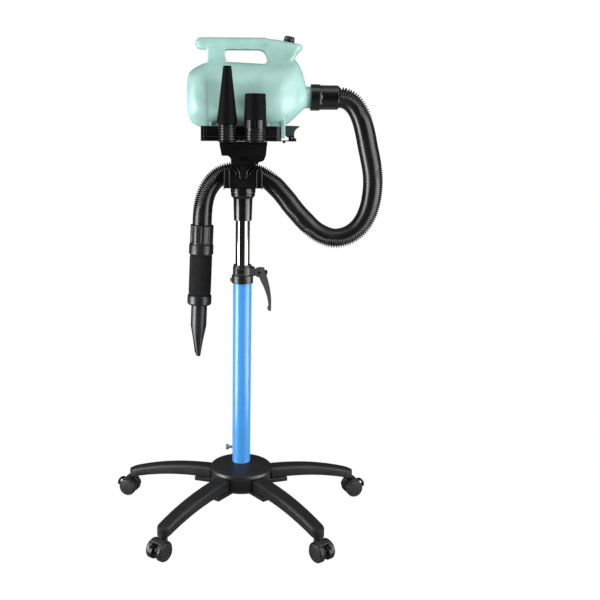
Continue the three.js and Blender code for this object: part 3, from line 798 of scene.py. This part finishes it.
def clamp_lug():
    """Two cheeks hollowed round the lever's hub, and the tongue between them that carries its pin."""
    px, pz = LEVER_PIVOT
    hub_room = bar_y(10.9, -10, 10, px, pz, 0, 64)
    make("clamp_cheeks", block(19, 28.5, -9.5, 9.5, 572, 590), LEVER, "base", bevel=0.9, cuts=[hub_room])
    make("clamp_cap", block(18, 26, -8.5, 8.5, 590.2, 592.4), BLACK, "base", bevel=0.5)
    tongue = slab(loop([(19, 572.1), (49, 572.1, 5), (49, 586.9, 5), (19, 586.9)]), -5.5, 5.5)
    make("clamp_tongue", tongue, CLAMP, "base", bevel=0.8)


def clamp_lever():
    """The hooked lever, forked at its pivot to clear the tongue."""
    px, pz = LEVER_PIVOT
    outer = smooth_curve([(51.5, 0, 581), (55.9, 0, 569), (60.5, 0, 553), (63.6, 0, 538), (65.8, 0, 520),
                          (66, 0, 492)], 8)
    inner = smooth_curve([(60.2, 0, 501), (56.6, 0, 522.8), (49.5, 0, 543.7), (40.4, 0, 563)], 8)
    outline = [(px, pz + 10.5)] + rounded([(44, 590), (49.5, 590, 5), (51.5, 581)])[:-1]
    outline += [(p.x, p.z) for p in outer] + [(60.5, 491.5), (57.5, 496)]
    outline += [(p.x, p.z) for p in inner] + arc(px, pz, 10.5, 270, 90, 16)[:-1]
    slot = bar_y(20.5, -6.1, 6.1, px, pz, 0, 64)
    pin_hole = bar_y(3.2, -12, 12, px, pz, 0)
    make("lever_blade", slab(outline, -9.5, 9.5), LEVER, "lever", ["clamp_lever"], bevel=1.7, segments=3,
         cuts=[slot, pin_hole])


def column():
    outer_tube()
    set_screw()
    clamp_collar()
    clamp_lever()
    make("bush", ring(16.4, 19.2, 500, 565), BLACK, "base", ["guide_bush"])
    make("chrome_tube", ring(14.5, CHROME_R, 180, 745, 0.3, 96), CHROME, "mast", ["inner_tube"])


# ---- Head of the stand ----
def tongue_outline(gap):
    """The V that runs down into a U, keying the saddle into the hose holder."""
    right = [(8.4, 803.5), (12.5, 811.5), (26, 820.5), (26, 826)]
    bottom = arc(0, 796.4 - gap, 8.4 + gap, 180, 360, 16)
    return [(-x - gap, z) for x, z in reversed(right)] + bottom + [(x + gap, z) for x, z in right]


def neck():
    bore = CHROME_R + 0.35
    profile = rounded([(bore, 697), (19.6, 697, 0.6), (20, 698.4, 0.4), (20.2, 703, 0.3), (21.4, 746),
                       (bore, 746)])
    make("neck_sleeve", spun(profile), GLOSS, "head", ["sleeve"])
    steps = rounded([
        (0, 746.3), (21.9, 746.3, 0.8), (26.2, 751.6, 2), (27, 753.6, 0.8), (27, 756.2, 0.6),
        (26.2, 757.2, 0.3),
        (26.4, 758, 0.3), (27.8, 759, 0.6), (27.8, 768.4, 0.8), (27, 769.2, 0.4), (0, 769.2),
    ])
    make("neck_rings", turned(steps, 96), GLOSS, "head", ["neck_collar"])


def hose_holder():
    """The plate and shelf that carry the hose, with a screw post at each end."""
    plate = loop([
        (-43, 769.5, 1), (43, 769.5, 1), (43, 806, 4), (39, 811, 3), (31, 812, 3), (27.5, 821, 2),
        (-27.5, 821, 2), (-31, 812, 3), (-39, 811, 3), (-43, 806, 4),
    ])
    make("holder_plate", slab(plate, -24, 14), BLACK, "head", ["hose_holder"], bevel=1.2, segments=3,
         cuts=[slab(tongue_outline(0.5), -30, -9.6)])
    shelf = block(-24, 24, 10, 68, 769.6, 777)
    lip = block(-24, 24, 64, 68, 769.6, 802)
    make("holder_shelf", merged(shelf, lip), BLACK, "head", bevel=1.4)
    for side in (-1, 1):
        holder_peg(side * 35.5, "left" if side < 0 else "right")
    spurs = [block(side * 42 - 0.9, side * 42 + 0.9, -23, -19, 766, 770) for side in (-1, 1)]
    make("holder_spurs", merged(*spurs), BLACK, "head", bevel=0.4)


def holder_peg(x, name):
    """A screw post on the holder: a hollow-faced column with a rounded head."""
    peg = loop([(x - 7, 769.8), (x + 7, 769.8), (x + 6.6, 807, 2), (x + 4.6, 811, 3), (x + 3, 816, 3),
                (x - 3, 816, 3), (x - 4.6, 811, 3), (x - 6.6, 807, 2)])
    groove = loop([(x - 4.8, 772, 1), (x + 4.8, 772, 1), (x + 4.6, 801, 2), (x - 4.6, 801, 2)])
    hole = bar_y(2.2, -30, -22, x, 810, 0, 24)
    edges = [bead([(x + side * 5.9, 771), (x + side * 5.7, 805), (x + side * 3.6, 811), (x, 814)], 0.8, -28)
             for side in (-1, 1)]
    make(f"holder_peg_edges_{name}", merged(*edges), GLOSS, "head")
    make(f"holder_peg_{name}", slab(peg, -28.3, -20), BLACK, "head", bevel=1.0, segments=3,
         cuts=[slab(groove, -29, -26), hole])


def saddle():
    """The block under the tray, whose key runs down into the hose holder."""
    outline = [(51, 860), (51, 871), (-51, 871), (-51, 860), (-47.5, 842.7)]
    outline += rounded([(-47.5, 842.7), (-46.6, 840, 3), (-33, 840, 5), (-27, 834, 6), (-27, 821.3)],
                       steps=6)[1:]
    outline += [(32, 821.3)]
    outline += rounded([(32, 821.3), (33.5, 826.5, 2), (45, 829.5, 9), (49.5, 842.7)], steps=6)[1:]
    recess = loop([(-11, 839, 1), (-10, 834, 4), (0, 829.5, 9), (10, 834, 4), (11, 839, 1)])
    make("saddle_block", slab(outline, -32, 15), BLACK, "head", ["saddle"], bevel=1.6, segments=3,
         cuts=[slab(recess, -34, -26.5)])
    make("saddle_flange", block(-51, 51, -60, 60, 862, 871), BLACK, "head", bevel=1.2)
    apron = [(-26, 821.2), (26, 821.2), (26, 825, 2), (24, 829, 2), (-24, 829, 2), (-26, 825, 2)]
    make("key_apron", slab(loop(apron), -33.2, -30), BLACK, "head", bevel=0.8)
    hole = bar_y(4.2, -34, -15, 0, SCREW_Z, 0, 32)
    make("saddle_key", slab(tongue_outline(0), -26, -10), BLACK, "head", bevel=0.6, cuts=[hole])
    key_rim()
    socket = rounded([(0, -33.6), (2.2, -33.6), (2.2, -35, 0.2), (4.4, -35, 0.5), (4.8, -34.2, 0.4),
                      (4.8, -32.3), (3.8, -32.3), (3.8, -16), (0, -16)])
    make("cap_screw", turned(socket, 48), DARK_STEEL, "head", ["socket_screw"],
         at(0, 0, SCREW_Z) @ ALONG_Y)


def bead(points, radius, y):
    """A thin round rib that follows an (x, z) line at depth y."""
    path = [Vector((x, y, z)) for x, z in points]
    rings = []
    for i, p in enumerate(path):
        ahead = (path[min(i + 1, len(path) - 1)] - path[max(i - 1, 0)]).normalized()
        across = Vector((-ahead.z, 0, ahead.x))
        rings.append([p + radius * (across * cos(t) + Vector((0, 1, 0)) * sin(t)) for t in angles(12)])
    return loft(rings)


def key_rim():
    """The raised rims that follow the V of the key and the flanks of the plate round it."""
    rim = bead(tongue_outline(-0.6)[1:-1], 1.15, -26.4)
    flank = [(28, 819), (23.5, 812.5), (16.5, 806), (12.8, 799)]
    flanks = [bead([(side * x, z) for x, z in flank], 0.9, -24.3) for side in (-1, 1)]
    make("key_rims", merged(rim, *flanks), GLOSS, "head")


def cradle():
    """The open tray under the dryer, the ears of its latch and the posts of the spare nozzles."""
    plan = [(-90, -78)] + arc(68, -66, 12, -90, 0, 8) + arc(68, 62, 12, 0, 90, 8) + [(-90, 74)]
    hollow = block(-86.5, 76.5, -74.5, 70.5, 875, 903.5)
    right_notch = block(66, 81, -46, 46, 875, 903.5)
    left_notch = block(-91, -76, -50, 50, 896, 903.5)
    corner = [(81, 895.5), (81, 904), (73, 904)] + arc(73, 895.5, 7, 90, 0, 10)
    make("tray", slab(plan, 871.4, 902.5, "Z"), BLACK, "head", ["cradle"], bevel=1.0,
         cuts=[hollow, right_notch, left_notch, slab(corner, -80, 76)])
    tray_details()
    lx, lz = LATCH_PIVOT
    ear = loop([(lx - 6, 871.6), (lx + 6, 871.6), (lx + 6, lz + 5, 5), (lx - 6, lz + 5, 5)])
    plates = [slab(ear, -14, -10.6), slab(ear, 10.6, 14), block(75, 115.5, -14, 14, 871.6, 873.9),
              block(113.5, 115.5, -14, 14, 871.6, 878.5), bar_y(2.4, -14, 14, 89.5, 870, 0.5, 32)]
    make("latch_ears", merged(*plates), BLACK, "head", bevel=0.6)
    for name, x, r in (("cone", CONE_X, 14), ("wide", WIDE_X, 16)):
        pad = moved(rod(18.5, NOZZLE_BASE - 3, NOZZLE_BASE - 0.3, 0.6), at(x, NOZZLE_Y, 0))
        post = moved(rod(r, NOZZLE_BASE - 2, NOZZLE_BASE + 24, 1.5), at(x, NOZZLE_Y, 0))
        arm = block(x - 9, x + 9, NOZZLE_Y + 8, -74, NOZZLE_BASE - 2.9, NOZZLE_BASE - 0.4)
        make(f"{name}_nozzle_post", merged(pad, post, arm), BLACK, "head", bevel=0.5)


def tray_details():
    """Rounded frames on the front wall of the tray, upright ribs at its left end, studs along its foot."""
    parts = [bead([(-89, z), (70, z)], 0.8, -78.2) for z in (872.8, 880.2)]
    parts.append(bead([(-89, 901.4), (68, 901.4)], 0.6, -78.2))
    parts += [bead([(x, 873), (x, 901)], size, -78.3) for x,
              size in ((-88.2, 0.9), (-83, 1.2), (-77, 0.7), (70, 0.8))]
    parts += [bead([(52, z), (66, z)], 0.7, -78.2) for z in (886, 892)]
    for x in range(-76, 72, 9):
        parts.append(block(x - 2.4, x + 2.4, -79.4, -77, 874.6, 878.4))
    make("tray_ribs", merged(*parts), GLOSS, "head")
    forward = ALONG_Y.inverted()
    middle = at(-4.5, 0, 876.5) @ forward
    hole = moved(rod(2.4, 80, 84, 0, 32), middle)
    make("tray_boss", moved(rod(5.2, 77, 82.5, 1.2, 40), middle), GLOSS, "head", cuts=[hole])
    make("tray_sill", block(58, 79, -44, 44, 874.6, 877.7), BLACK, "head", bevel=0.6)


def latch():
    """The grooved hook that holds the dryer's front feet, and its axle."""
    lx, lz = LATCH_PIVOT
    outline = loop([
        (91.5, 905.5, 1), (122.5, 904.8, 0.6), (122, 902.5, 0.6), (116, 898.5, 3), (112, 893, 4),
        (111, 886, 3),
        (110.2, 877.6, 2), (108.4, 875.3, 1.2), (103.6, 875.3, 1.2), (101.8, 877.6, 1), (99.5, 880, 2),
        (94, 882, 2), (91.5, 887, 2),
    ])
    grooves = [block(x - 0.5, x + 0.5, -11, -9.2, 884, 903) for x in (95, 98.5, 102, 105.5)]
    make("latch_hook", slab(outline, -10, 10), LATCH, "latch", ["latch"], bevel=0.9,
         cuts=[bar_y(2.4, -11, 11, lx, lz, 0, 24)] + grooves)
    make("latch_axle", rod(2, -15, 15, 0.4, 24), STEEL, "head", ["latch_pin"],
         at(lx, 0, lz) @ ALONG_Y)


def head():
    neck()
    hose_holder()
    saddle()
    cradle()
    latch()


# ---- Spare nozzles ----
def ribs(radius, start, count, pitch, depth):
    """Profile points of half-round rings one above another, with a sharp groove between them."""
    points = []
    for k in range(count):
        for step in range(7):
            t = step / 6
            points.append((radius - depth * (1 - sin(pi * t) ** 0.7), start + pitch * (k + 0.04 + 0.9 * t)))
    return points


def nozzles():
    """The two spare nozzles on their posts; b is the height of their feet."""
    b = NOZZLE_BASE
    cone_base = [(16.5, b)] + ribs(19, b, 6, 5.4, 2.2) + [(17.4, b + 33), (20.4, b + 34.4, 0.4),
            (20.4, b + 35), (16.8, b + 35)]
    make("cone_ribs", turned(rounded(cone_base), 72), GLOSS, "cone_nozzle", where=place(CONE_X, NOZZLE_Y))
    cone = [(16.6, b + 33.4), (20.4, b + 33.6, 0.4), (21, b + 34.6, 0.6), (21, b + 38.6, 0.8),
            (8.4, b + 149, 0.6), (8, b + 149.4, 0.2), (6.8, b + 149.4, 0.2), (17, b + 38.6), (16.6, b + 33.4)]
    make("cone_tip", turned(rounded(cone), 72), NOZZLE, "cone_nozzle", ["cone_nozzle"],
         place(CONE_X, NOZZLE_Y))

    def windows(r, z, angle):
        inside = b + 25.8 < z < b + 39.6 and r > 22
        return r - 1.9 if inside and cos(9 * angle) > -0.1 else r
    wide_base = [(18.5, b)] + ribs(22.6, b, 4, 5.4, 2.0) + [
        (21.6, b + 23.4), (23.6, b + 24.4, 0.4), (23.6, b + 25.6), (23.6, b + 26), (23.6, b + 39.4),
        (23.6, b + 39.8), (23.6, b + 41, 0.5), (22.6, b + 41.6, 0.3), (18.6, b + 41.6)]
    make("wide_ribs", turned(rounded(wide_base), 180, windows), GLOSS, "wide_nozzle",
         where=place(WIDE_X, NOZZLE_Y))
    wide = [(18.7, b + 41), (23.2, b + 41.7, 0.4), (21.4, b + 93.6, 0.5), (20.8, b + 94.6, 0.4),
            (18.8, b + 94.6, 0.4), (18.7, b + 41)]
    make("wide_tip", turned(rounded(wide), 96), NOZZLE, "wide_nozzle", ["wide_nozzle"],
         place(WIDE_X, NOZZLE_Y))


# ---- Dryer ----
# Cross-sections of the body along X: (x, bottom, top, half width).
BODY_SECTIONS = [
    (-120, 931, 1010, 42), (-117.5, 919, 1016.5, 53), (-110, 909.5, 1023.5, 62), (-97, 902.5, 1031, 68),
    (-79, 898, 1037.5, 71), (-40, 895, 1039.5, 72.5), (10, 894, 1037.2, 73), (50, 895, 1036, 72),
    (75, 899.5, 1041, 68), (92, 906.5, 1044, 61), (106, 917, 1046, 53), (112, 922.8, 1043, 48),
    (119, 929.5, 1033.5, 41), (125, 935.3, 1021.5, 36), (130, 940, 1007, 31), (134, 943.5, 990.5, 25.5),
]

# Cross-sections of the control console at the front of the handle.
CONSOLE_SECTIONS = [
    (38, 1064.5, 1090.2, 12.5), (44, 1063, 1088.4, 13), (58, 1030, 1087, 18), (70, 1012, 1086.2, 22.5),
    (80, 1010, 1084.3, 25), (90, 1010, 1082.3, 27), (106, 1038, 1079.4, 27), (110.5, 1047.8, 1078.4, 26),
    (114.8, 1056.1, 1077.4, 24.5), (123.5, 1064.4, 1074.6, 18), (127, 1068.3, 1072.5, 12),
]


def squared(value, power):
    """A sine or cosine raised to a power with its sign kept: under 1 it makes a circle boxy."""
    return copysign(abs(value) ** power, value)


def through_sections(sections, steps, squareness, around=72):
    """A loft whose rings are interpolated smoothly between sections."""
    rows = []
    for t in range(len(sections) - 1):
        a, b = sections[max(t - 1, 0)], sections[t]
        c, d = sections[t + 1], sections[min(t + 2, len(sections) - 1)]
        for k in range(steps):
            rows.append([between(*four, k / steps) for four in zip(a, b, c, d)])
    rows.append(list(sections[-1]))
    rings = []
    for x, bottom, top, half in rows:
        ring_points = []
        for angle in angles(around):
            y = half * squared(cos(angle), squareness)
            z = (top + bottom) / 2 + (top - bottom) / 2 * squared(sin(angle), squareness)
            ring_points.append((x, y, z))
        rings.append(ring_points)
    return loft(rings)


def body_skin():
    """The body, with the shallow waist that starts under the back edge of the handle post."""
    verts, faces = through_sections(BODY_SECTIONS, 8, 1.0, 96)
    waisted = []
    for x, y, z in verts:
        sunk = 0.0
        if WAIST_START < x < WAIST_END:
            sunk = WAIST_DEPTH * (1 - (x - WAIST_START) / (WAIST_END - WAIST_START))
        middle = Vector((x, 0, DRYER_Z))
        out = Vector((x, y, z)) - middle
        waisted.append(tuple(middle + out * (1 - sunk / max(out.length, 1))))
    return waisted, faces


def grip_hole():
    """The opening under the handle, round at its front end."""
    outline = rounded([(-35, 1024), (-42.6, 1064.5, 6), (30, 1064.5)])
    outline += arc(30, 1045, 19.5, 90, -50, 16)[1:] + [(42.5, 1024)]
    return slab(outline, -40, 40)


def foot(x0, x1, low):
    """A foot of the body, still without the hollows of its front and back faces."""
    plan = loop([(x0, low), (x1, low), (x1, 920, 8), (x0, 920, 8)], 6)
    return slab(plan, -42, 42)


def run_together(solid):
    """Remeshes the joined parts and smooths them, which leaves a fillet where they meet."""
    voxel, rounds = ((1.3, 13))
    remesh = solid.modifiers.new("remesh", "REMESH")
    remesh.mode = "VOXEL"
    remesh.voxel_size = voxel * MM
    soften = solid.modifiers.new("soften", "SMOOTH")
    soften.factor = 0.5
    soften.iterations = rounds
    apply_modifiers(solid)


def dryer_solid():
    """Body, handle, console, feet and neck run together with soft fillets."""
    bar = turned(rounded([(0, -105.6), (6, -104.3, 1), (10.8, -100, 4), (13, -93, 5), (13, 48), (0, 48)]), 48)
    bar = moved(bar, at(0, 0, HANDLE_Z) @ ALONG_X)
    web = slab(loop([(-78, 1018), (62, 1018), (62, 1068), (-78, 1068)]), -12.5, 12.5)
    console = through_sections(CONSOLE_SECTIONS, 6, 0.75, 48)
    feet = [foot(50, 89.7, 878), foot(-71, -47, 875.2)]
    spout = moved(rod(23, 120, 163, 0.8, 64), at(0, 0, DRYER_Z) @ ALONG_X)
    solid = scratch(bar)
    for part in (web, console):
        combine(solid, scratch(part), "UNION")
    combine(solid, scratch(grip_hole()))
    for part in (body_skin(), *feet, spout):
        combine(solid, scratch(part), "UNION")
    for x0, x1 in ((53, 80), (-66, -40)):
        for side in (-1, 1):
            face = loop([(x0, 876), (x1, 876), (x1, 913, 7), (x0, 913, 7)], 6)
            combine(solid, scratch(slab(face, side * 39, side * 60)))
    run_together(solid)
    inlet = moved(rod(38, -130, -98, 0, 96), at(0, 0, INLET_Z) @ ALONG_X)
    outlet = moved(rod(20, 100, 170, 0, 64), at(0, 0, DRYER_Z) @ ALONG_X)
    combine(solid, scratch(inlet))
    combine(solid, scratch(outlet))
    combine(solid, scratch(rod(3.6, -20, 12, 0, 32), KNOB_PLACE))
    combine(solid, scratch(through_sections(hollow_sections(), 4, 1.0, 48)))
    return solid


def hollow_sections():
    """The space inside the shell, a wall's thickness in from the outside."""
    inner = [(x, bottom + SHELL_WALL, top - SHELL_WALL, half - SHELL_WALL)
             for x, bottom, top, half in BODY_SECTIONS]
    inner[0] = (-114, 936, 1005, 40)
    inner[1] = (-112, 924, 1013, 50)
    inner[2] = (-106, 915, 1019, 59)
    return inner[:-1]


def half_of(solid, name, node, side):
    """The front (-1) or rear (+1) half of the shell, a hair short of the parting line."""
    mesh = solid.data.copy()
    mesh.name = name
    work = bmesh.new()
    work.from_mesh(mesh)
    cut_at = COLUMN + Vector((0, side * PARTING_GAP * MM, 0))
    geometry = work.verts[:] + work.edges[:] + work.faces[:]
    bmesh.ops.bisect_plane(work, geom=geometry, plane_co=cut_at, plane_no=(0, -side, 0), clear_outer=True)
    work.to_mesh(mesh)
    work.free()
    dress(mesh, MINT, 40)
    obj = show(name, mesh)
    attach(obj, "head")
    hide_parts(node)


def dryer_shells():
    solid = dryer_solid()
    half_of(solid, "shell_front", "front_shell", -1)
    half_of(solid, "shell_rear", "rear_shell", 1)
    mesh = solid.data
    bpy.data.objects.remove(solid)
    bpy.data.meshes.remove(mesh)


def grille():
    """A round guard of seven rings and six bars over the inlet."""
    bars = [moved(ring(36.4, 37.5, -120.4, -116.4, 0.4), ALONG_X)]
    for k in range(7):
        radius = 5 + 5 * k
        bars.append(moved(ring(radius - 0.9, radius + 0.9, -119.6, -117, 0.4), ALONG_X))
    for k in range(6):
        spoke = block(-120, -116.8, -1.2, 1.2, -36.8, 36.8)
        bars.append(moved(spoke, spin(30 * k, "X")))
    make("inlet_guard", merged(*bars), BLACK, "inlet", ["inlet_grille"], at(0, 0, INLET_Z))


def knob():
    """The speed dial, with ten finger hollows."""
    def grips(r, z, angle):
        deep = 0.9 * max(0.0, cos(10 * angle)) ** 2
        return r - deep if r > 10.4 and 1.5 < z < 9.5 else r
    profile = rounded([(0, 0), (11.8, 0, 0.6), (11.8, 1.4, 0.3), (11.6, 2), (11.4, 5), (11.2, 8, 1),
                       (9.8, 10.7, 2.2), (5, 10.8, 1), (0, 10.9)])
    cap = turned(profile, 120, grips)
    make("speed_dial", merged(cap, rod(2.9, -16, 1, 0.3)), GLOSS, "knob", ["speed_knob"],
         KNOB_PLACE)


def dryer():
    dryer_shells()
    grille()
    knob()
    gland = rounded([(0, 73.4), (7, 73.4), (7, 76, 0.6), (5.6, 77, 0.5), (5.6, 82, 0.6), (4.6, 84, 0.6),
                     (3, 84), (0, 82)])
    make("cord_gland", turned(gland, 48), BLACK, "head", ["cable_gland"],
         at(-10, 0, DRYER_Z) @ ALONG_Y)


# ---- Hose ends and wand ----
def flutes(count, depth, low, high, soft=2.0):
    """Raised panels round a barrel between two heights."""
    def shape(r, z, angle):
        along = clamped(min(z - low, high - z) / soft)
        wave = clamped(0.5 + 1.6 * cos(count * angle))
        return r - depth * along * (1 - wave)
    return shape


def hose_cuff():
    profile = rounded([
        (23.4, 146), (27.4, 146, 0.4), (28, 147, 0.6), (28, 164.2, 0.8), (26.6, 165.6, 0.4), (26.4, 166.4),
    ]) + [(26 - 0.01 * k, 167 + k * 1.5) for k in range(24)] + rounded([
        (25.7, 203), (25.2, 205.6, 1.2), (23, 206.8, 1), (20, 206.8), (20, 163.6), (23.4, 163.6), (23.4, 146),
    ])
    make("outlet_cuff", turned(profile, 144, flutes(10, 1.1, 168, 205)), GLOSS, "head", ["hose_cuff"],
         at(0, 0, DRYER_Z) @ ALONG_X)


def wand_cuff():
    profile = [(20, -44), (26, -44), (26.5, -43.2)] + [(26.5, -42 + k * 1.65) for k in range(25)]
    profile += rounded([(26.5, -1.6), (25.6, -0.1, 0.8), (20, -0.1), (20, -44)])
    return turned(profile, 144, flutes(9, 1.2, -42, -1.5, 1.5))


def wand_sleeve():
    """The wand's tube, with a collar above and below the foam."""
    upper = rounded([(20, -67.5), (27.2, -67.5, 0.5), (28, -66.4, 0.7), (28, -46, 0.8), (26.6, -44.4, 0.6),
                     (17, -44.4)])
    lower = rounded([(17, -185.7), (25.6, -185.7, 0.8), (28, -182, 0.8), (28, -165.5, 0.8),
                     (26.6, -162.8, 0.6), (20, -162.6)])
    return turned(lower + upper + lower[:1], 96)


def grip():
    points = [(20.3, -162.3)]
    for k in range(25):
        t = k / 24
        end = min(t, 1 - t) * 24
        points.append((25.9 - 1.2 * exp(-end * 1.6), -162.1 + 94.1 * t))
    points.append((20.3, -67.8))
    obj = make("foam_sleeve", spun(points), FOAM, "head", ["foam_grip"],
               WAND_PLACE)


def crevice_ring(z, thin, deep, power, degrees=0.0):
    """A ring between round (power 1) and boxy, turned about the wand's axis."""
    result = []
    turn = radians(degrees)
    for angle in angles(72):
        x = thin * squared(cos(angle), power)
        y = deep * squared(sin(angle), power)
        result.append((x * cos(turn) - y * sin(turn), x * sin(turn) + y * cos(turn), z))
    return result


def wand_nozzle():
    """From a round collar to a narrow flat mouth, turned a little and cut slanting at one side."""
    outer = [crevice_ring(-186, 18, 18, 1), crevice_ring(-186.8, 18.5, 18.5, 1),
             crevice_ring(-236, 18.5, 18.5, 1)]
    inner = []
    for k in range(1, 13):
        t = k / 12
        shape = (-236 - 70.5 * t, 18.5 - 13.7 * t, 18.5 - t, 1 - 0.5 * t ** 0.7, MOUTH_TURN * t)
        outer.append(crevice_ring(*shape))
        inner.append(crevice_ring(shape[0], 15 - 12.2 * t, 15 + 0.5 * t, shape[3], shape[4]))
    skin = loft(outer + inner[::-1] + [crevice_ring(-236, 15, 15, 1), crevice_ring(-205, 14.5, 14.5, 1)])
    slant = slab([(-14, -294), (-1, -308), (-14, -308)], -30, 30)
    make("crevice_nozzle", skin, CLAMP, "wand_nozzle", ["wand_nozzle"], WAND_PLACE, crease=25, cuts=[slant])
    make("nozzle_spigot", ring(14.2, 16.4, -187, -168.3), BLACK, "wand_nozzle", where=WAND_PLACE)


def wand():
    make("wand_collar", wand_cuff(), CLAMP, "head", ["wand_cuff"], WAND_PLACE)
    make("wand_tube", wand_sleeve(), CLAMP, "head", ["wand_body"], WAND_PLACE)
    grip()
    wand_nozzle()


def inner_works():
    """The pieces inside keep their CAD shape."""
    keep_node("filter", FILTER)
    keep_node("motor", MOTOR)
    keep_node("motor_mount", BLACK)
    keep_node("impeller", FAN)


camera()
hose()
world()
lights()
floor()
base()
column()
head()
nozzles()
dryer()
hose_cuff()
wand()
inner_works()
